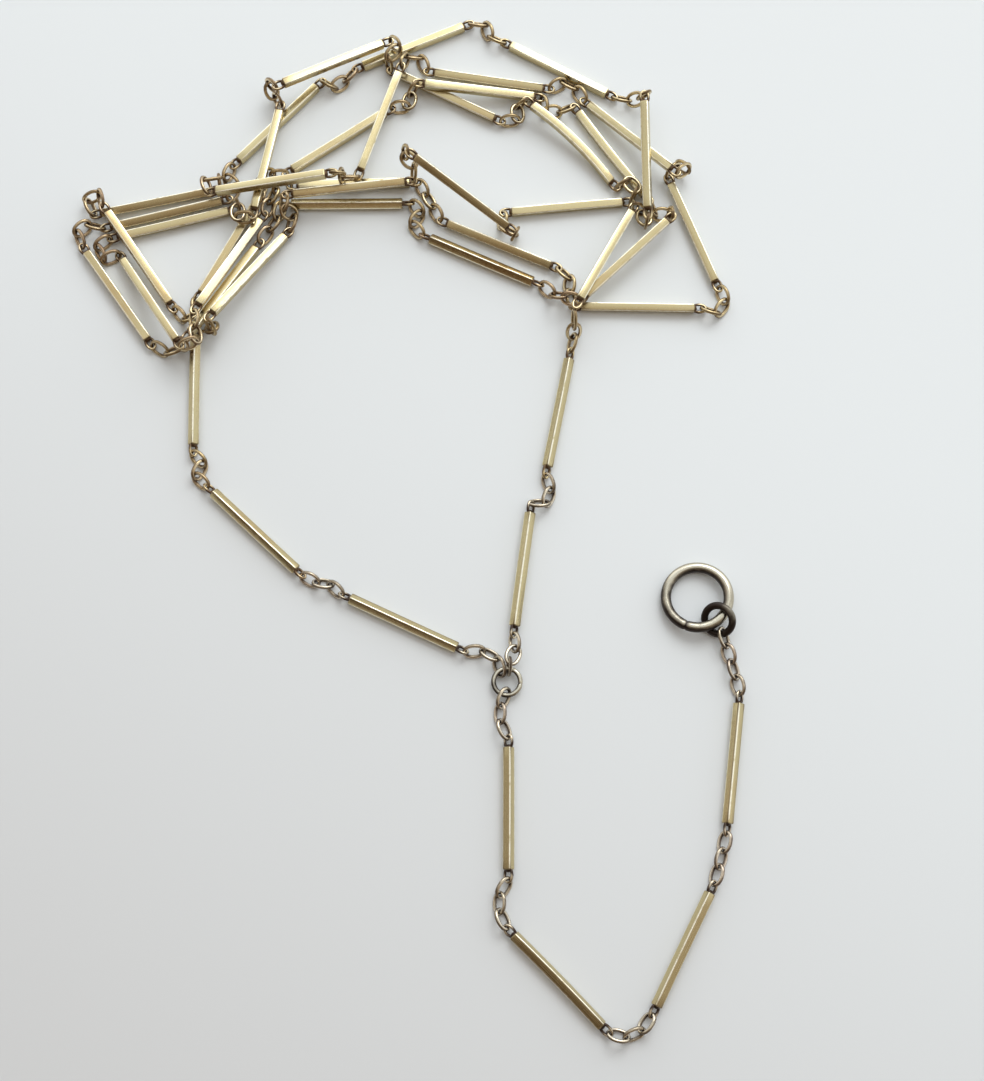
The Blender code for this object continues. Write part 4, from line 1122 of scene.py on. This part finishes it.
def floor():
    """A pale surface under the chain, with painted light and shade that make it a little brighter
    towards the upper right.
    """
    mesh = bpy.data.meshes.new("floor")
    s = FLOOR_SIZE / 2
    mesh.from_pydata([(-s, -s, 0), (s, -s, 0), (s, s, 0), (-s, s, 0)], [], [(0, 1, 2, 3)])
    made = placed("floor", mesh)
    material, tree, shader = new_material("pale_surface")
    shader.inputs["Roughness"].default_value = FLOOR_ROUGHNESS
    shader.inputs["Specular IOR Level"].default_value = FLOOR_SPECULAR
    place = add(tree, "SeparateXYZ", {"Vector": add(tree, "TexCoord").outputs["Object"]}).outputs
    # painted light and shade on the floor, from dim to bright
    bright = ramp(tree, scaled(tree, place["X"], FLOOR_SLANT, place["Y"]), *FLOOR_PAINTED_LIGHT_RAMP)
    tree.links.new(mix_colour(tree, bright, FLOOR_PAINTED_SHADE, FLOOR_PAINTED_LIGHT), shader.inputs["Base Color"])
    mesh.materials.append(material)


# The room's light from its front, past overhead, to its back, by y + slant x from -1 to 1.
ROOM = (
    (0.00, 0.36, 0.26, 0.18), (0.12, 0.15, 0.11, 0.08), (0.25, 0.28, 0.22, 0.165),
    (0.40, 0.60, 0.54, 0.47), (0.48, 0.96, 0.96, 0.95), (0.55, 1.16, 1.20, 1.22),
    (0.66, 0.90, 0.94, 0.97), (0.72, 0.74, 0.78, 0.81), (0.80, 1.35, 1.42, 1.48),
    (0.88, 2.10, 2.20, 2.30), (1.00, 1.20, 1.27, 1.33),
)
ROOM_SLANT = 0.15
ROOM_SHADE = (0.50, 0.45, 0.40, 1.0)  # its darker patches, as a share of the light round them
ROOM_SEEN = (0.80, 0.83, 0.83, 1.0)  # what lies beyond the surface
PATCH_SCALE = 3.4
PATCHES_LEFT = 0.12  # there are more of them on the left,
PATCHES_BACK = (0.5, 0.65, 0.2)  # and fewer at the back: from, to and by how much
PATCH_EDGE = (0.36, 0.52)


def world():
    """Soft light all round: bright overhead and at the back, brown and dim towards the front."""
    made = bpy.data.worlds.new("studio")
    bpy.context.scene.world = made
    made.use_nodes = True
    tree = made.node_tree
    direction = add(tree, "TexCoord").outputs["Generated"]
    place = add(tree, "SeparateXYZ", {"Vector": direction}).outputs
    backwards = scaled(tree, place["X"], ROOM_SLANT, place["Y"])
    room = add(tree, "ValToRGB", {"Fac": scaled(tree, backwards, 0.5, 0.5)})
    stops = room.color_ramp.elements
    stops[0].position, stops[1].position = ROOM[0][0], ROOM[-1][0]
    for position, *_ in ROOM[1:-1]:
        stops.new(position)
    for element, (_, *colour) in zip(stops, ROOM):
        element.color = (*colour, 1.0)
    patches = scaled(tree, place["X"], PATCHES_LEFT, noise(tree, direction, PATCH_SCALE))
    patches = scaled(tree, ramp(tree, backwards, *PATCHES_BACK[:2]), PATCHES_BACK[2], patches)
    light = room.outputs["Color"]
    dark = mix_colour(tree, 1.0, light, ROOM_SHADE, blend_type="MULTIPLY")
    uneven = mix_colour(tree, ramp(tree, patches, *PATCH_EDGE), dark, light)
    seen = add(tree, "LightPath").outputs["Is Camera Ray"]
    tree.links.new(mix_colour(tree, seen, uneven, ROOM_SEEN),
                   tree.nodes["Background"].inputs["Color"])


def lamp(name, place, size, power, colour):
    """A square area lamp that faces the middle of the chain."""
    data = bpy.data.lights.new(name, "AREA")
    data.size = size
    data.energy = power
    data.color = colour
    made = placed(name, data)
    made.location = place
    made.rotation_mode = "QUATERNION"
    made.rotation_quaternion = (-made.location).to_track_quat("-Z", "Y")


# The camera stands over the chain and looks down a little forward.
CAMERA_DISTANCE = 290.534
CAMERA_TILT = 13.4526
CAMERA_LENS = 56.6
CAMERA_NEAR = 0.01


def camera():
    data = bpy.data.cameras.new("camera")
    data.lens = CAMERA_LENS
    data.clip_start = CAMERA_NEAR
    made = placed("camera", data)
    tilt = math.radians(CAMERA_TILT)
    back = np.array([0.0, -math.sin(tilt), math.cos(tilt)])
    made.location = back * CAMERA_DISTANCE * MM + SHIFT
    made.rotation_euler = (tilt, 0.0, 0.0)
    bpy.context.scene.camera = made


floor()
world()
lamp("back", place=(0.30, 0.75, 0.85), size=0.6, power=4.0, colour=(0.98, 1.0, 1.0))
camera()
bpy.context.scene.view_settings.view_transform = "Standard"
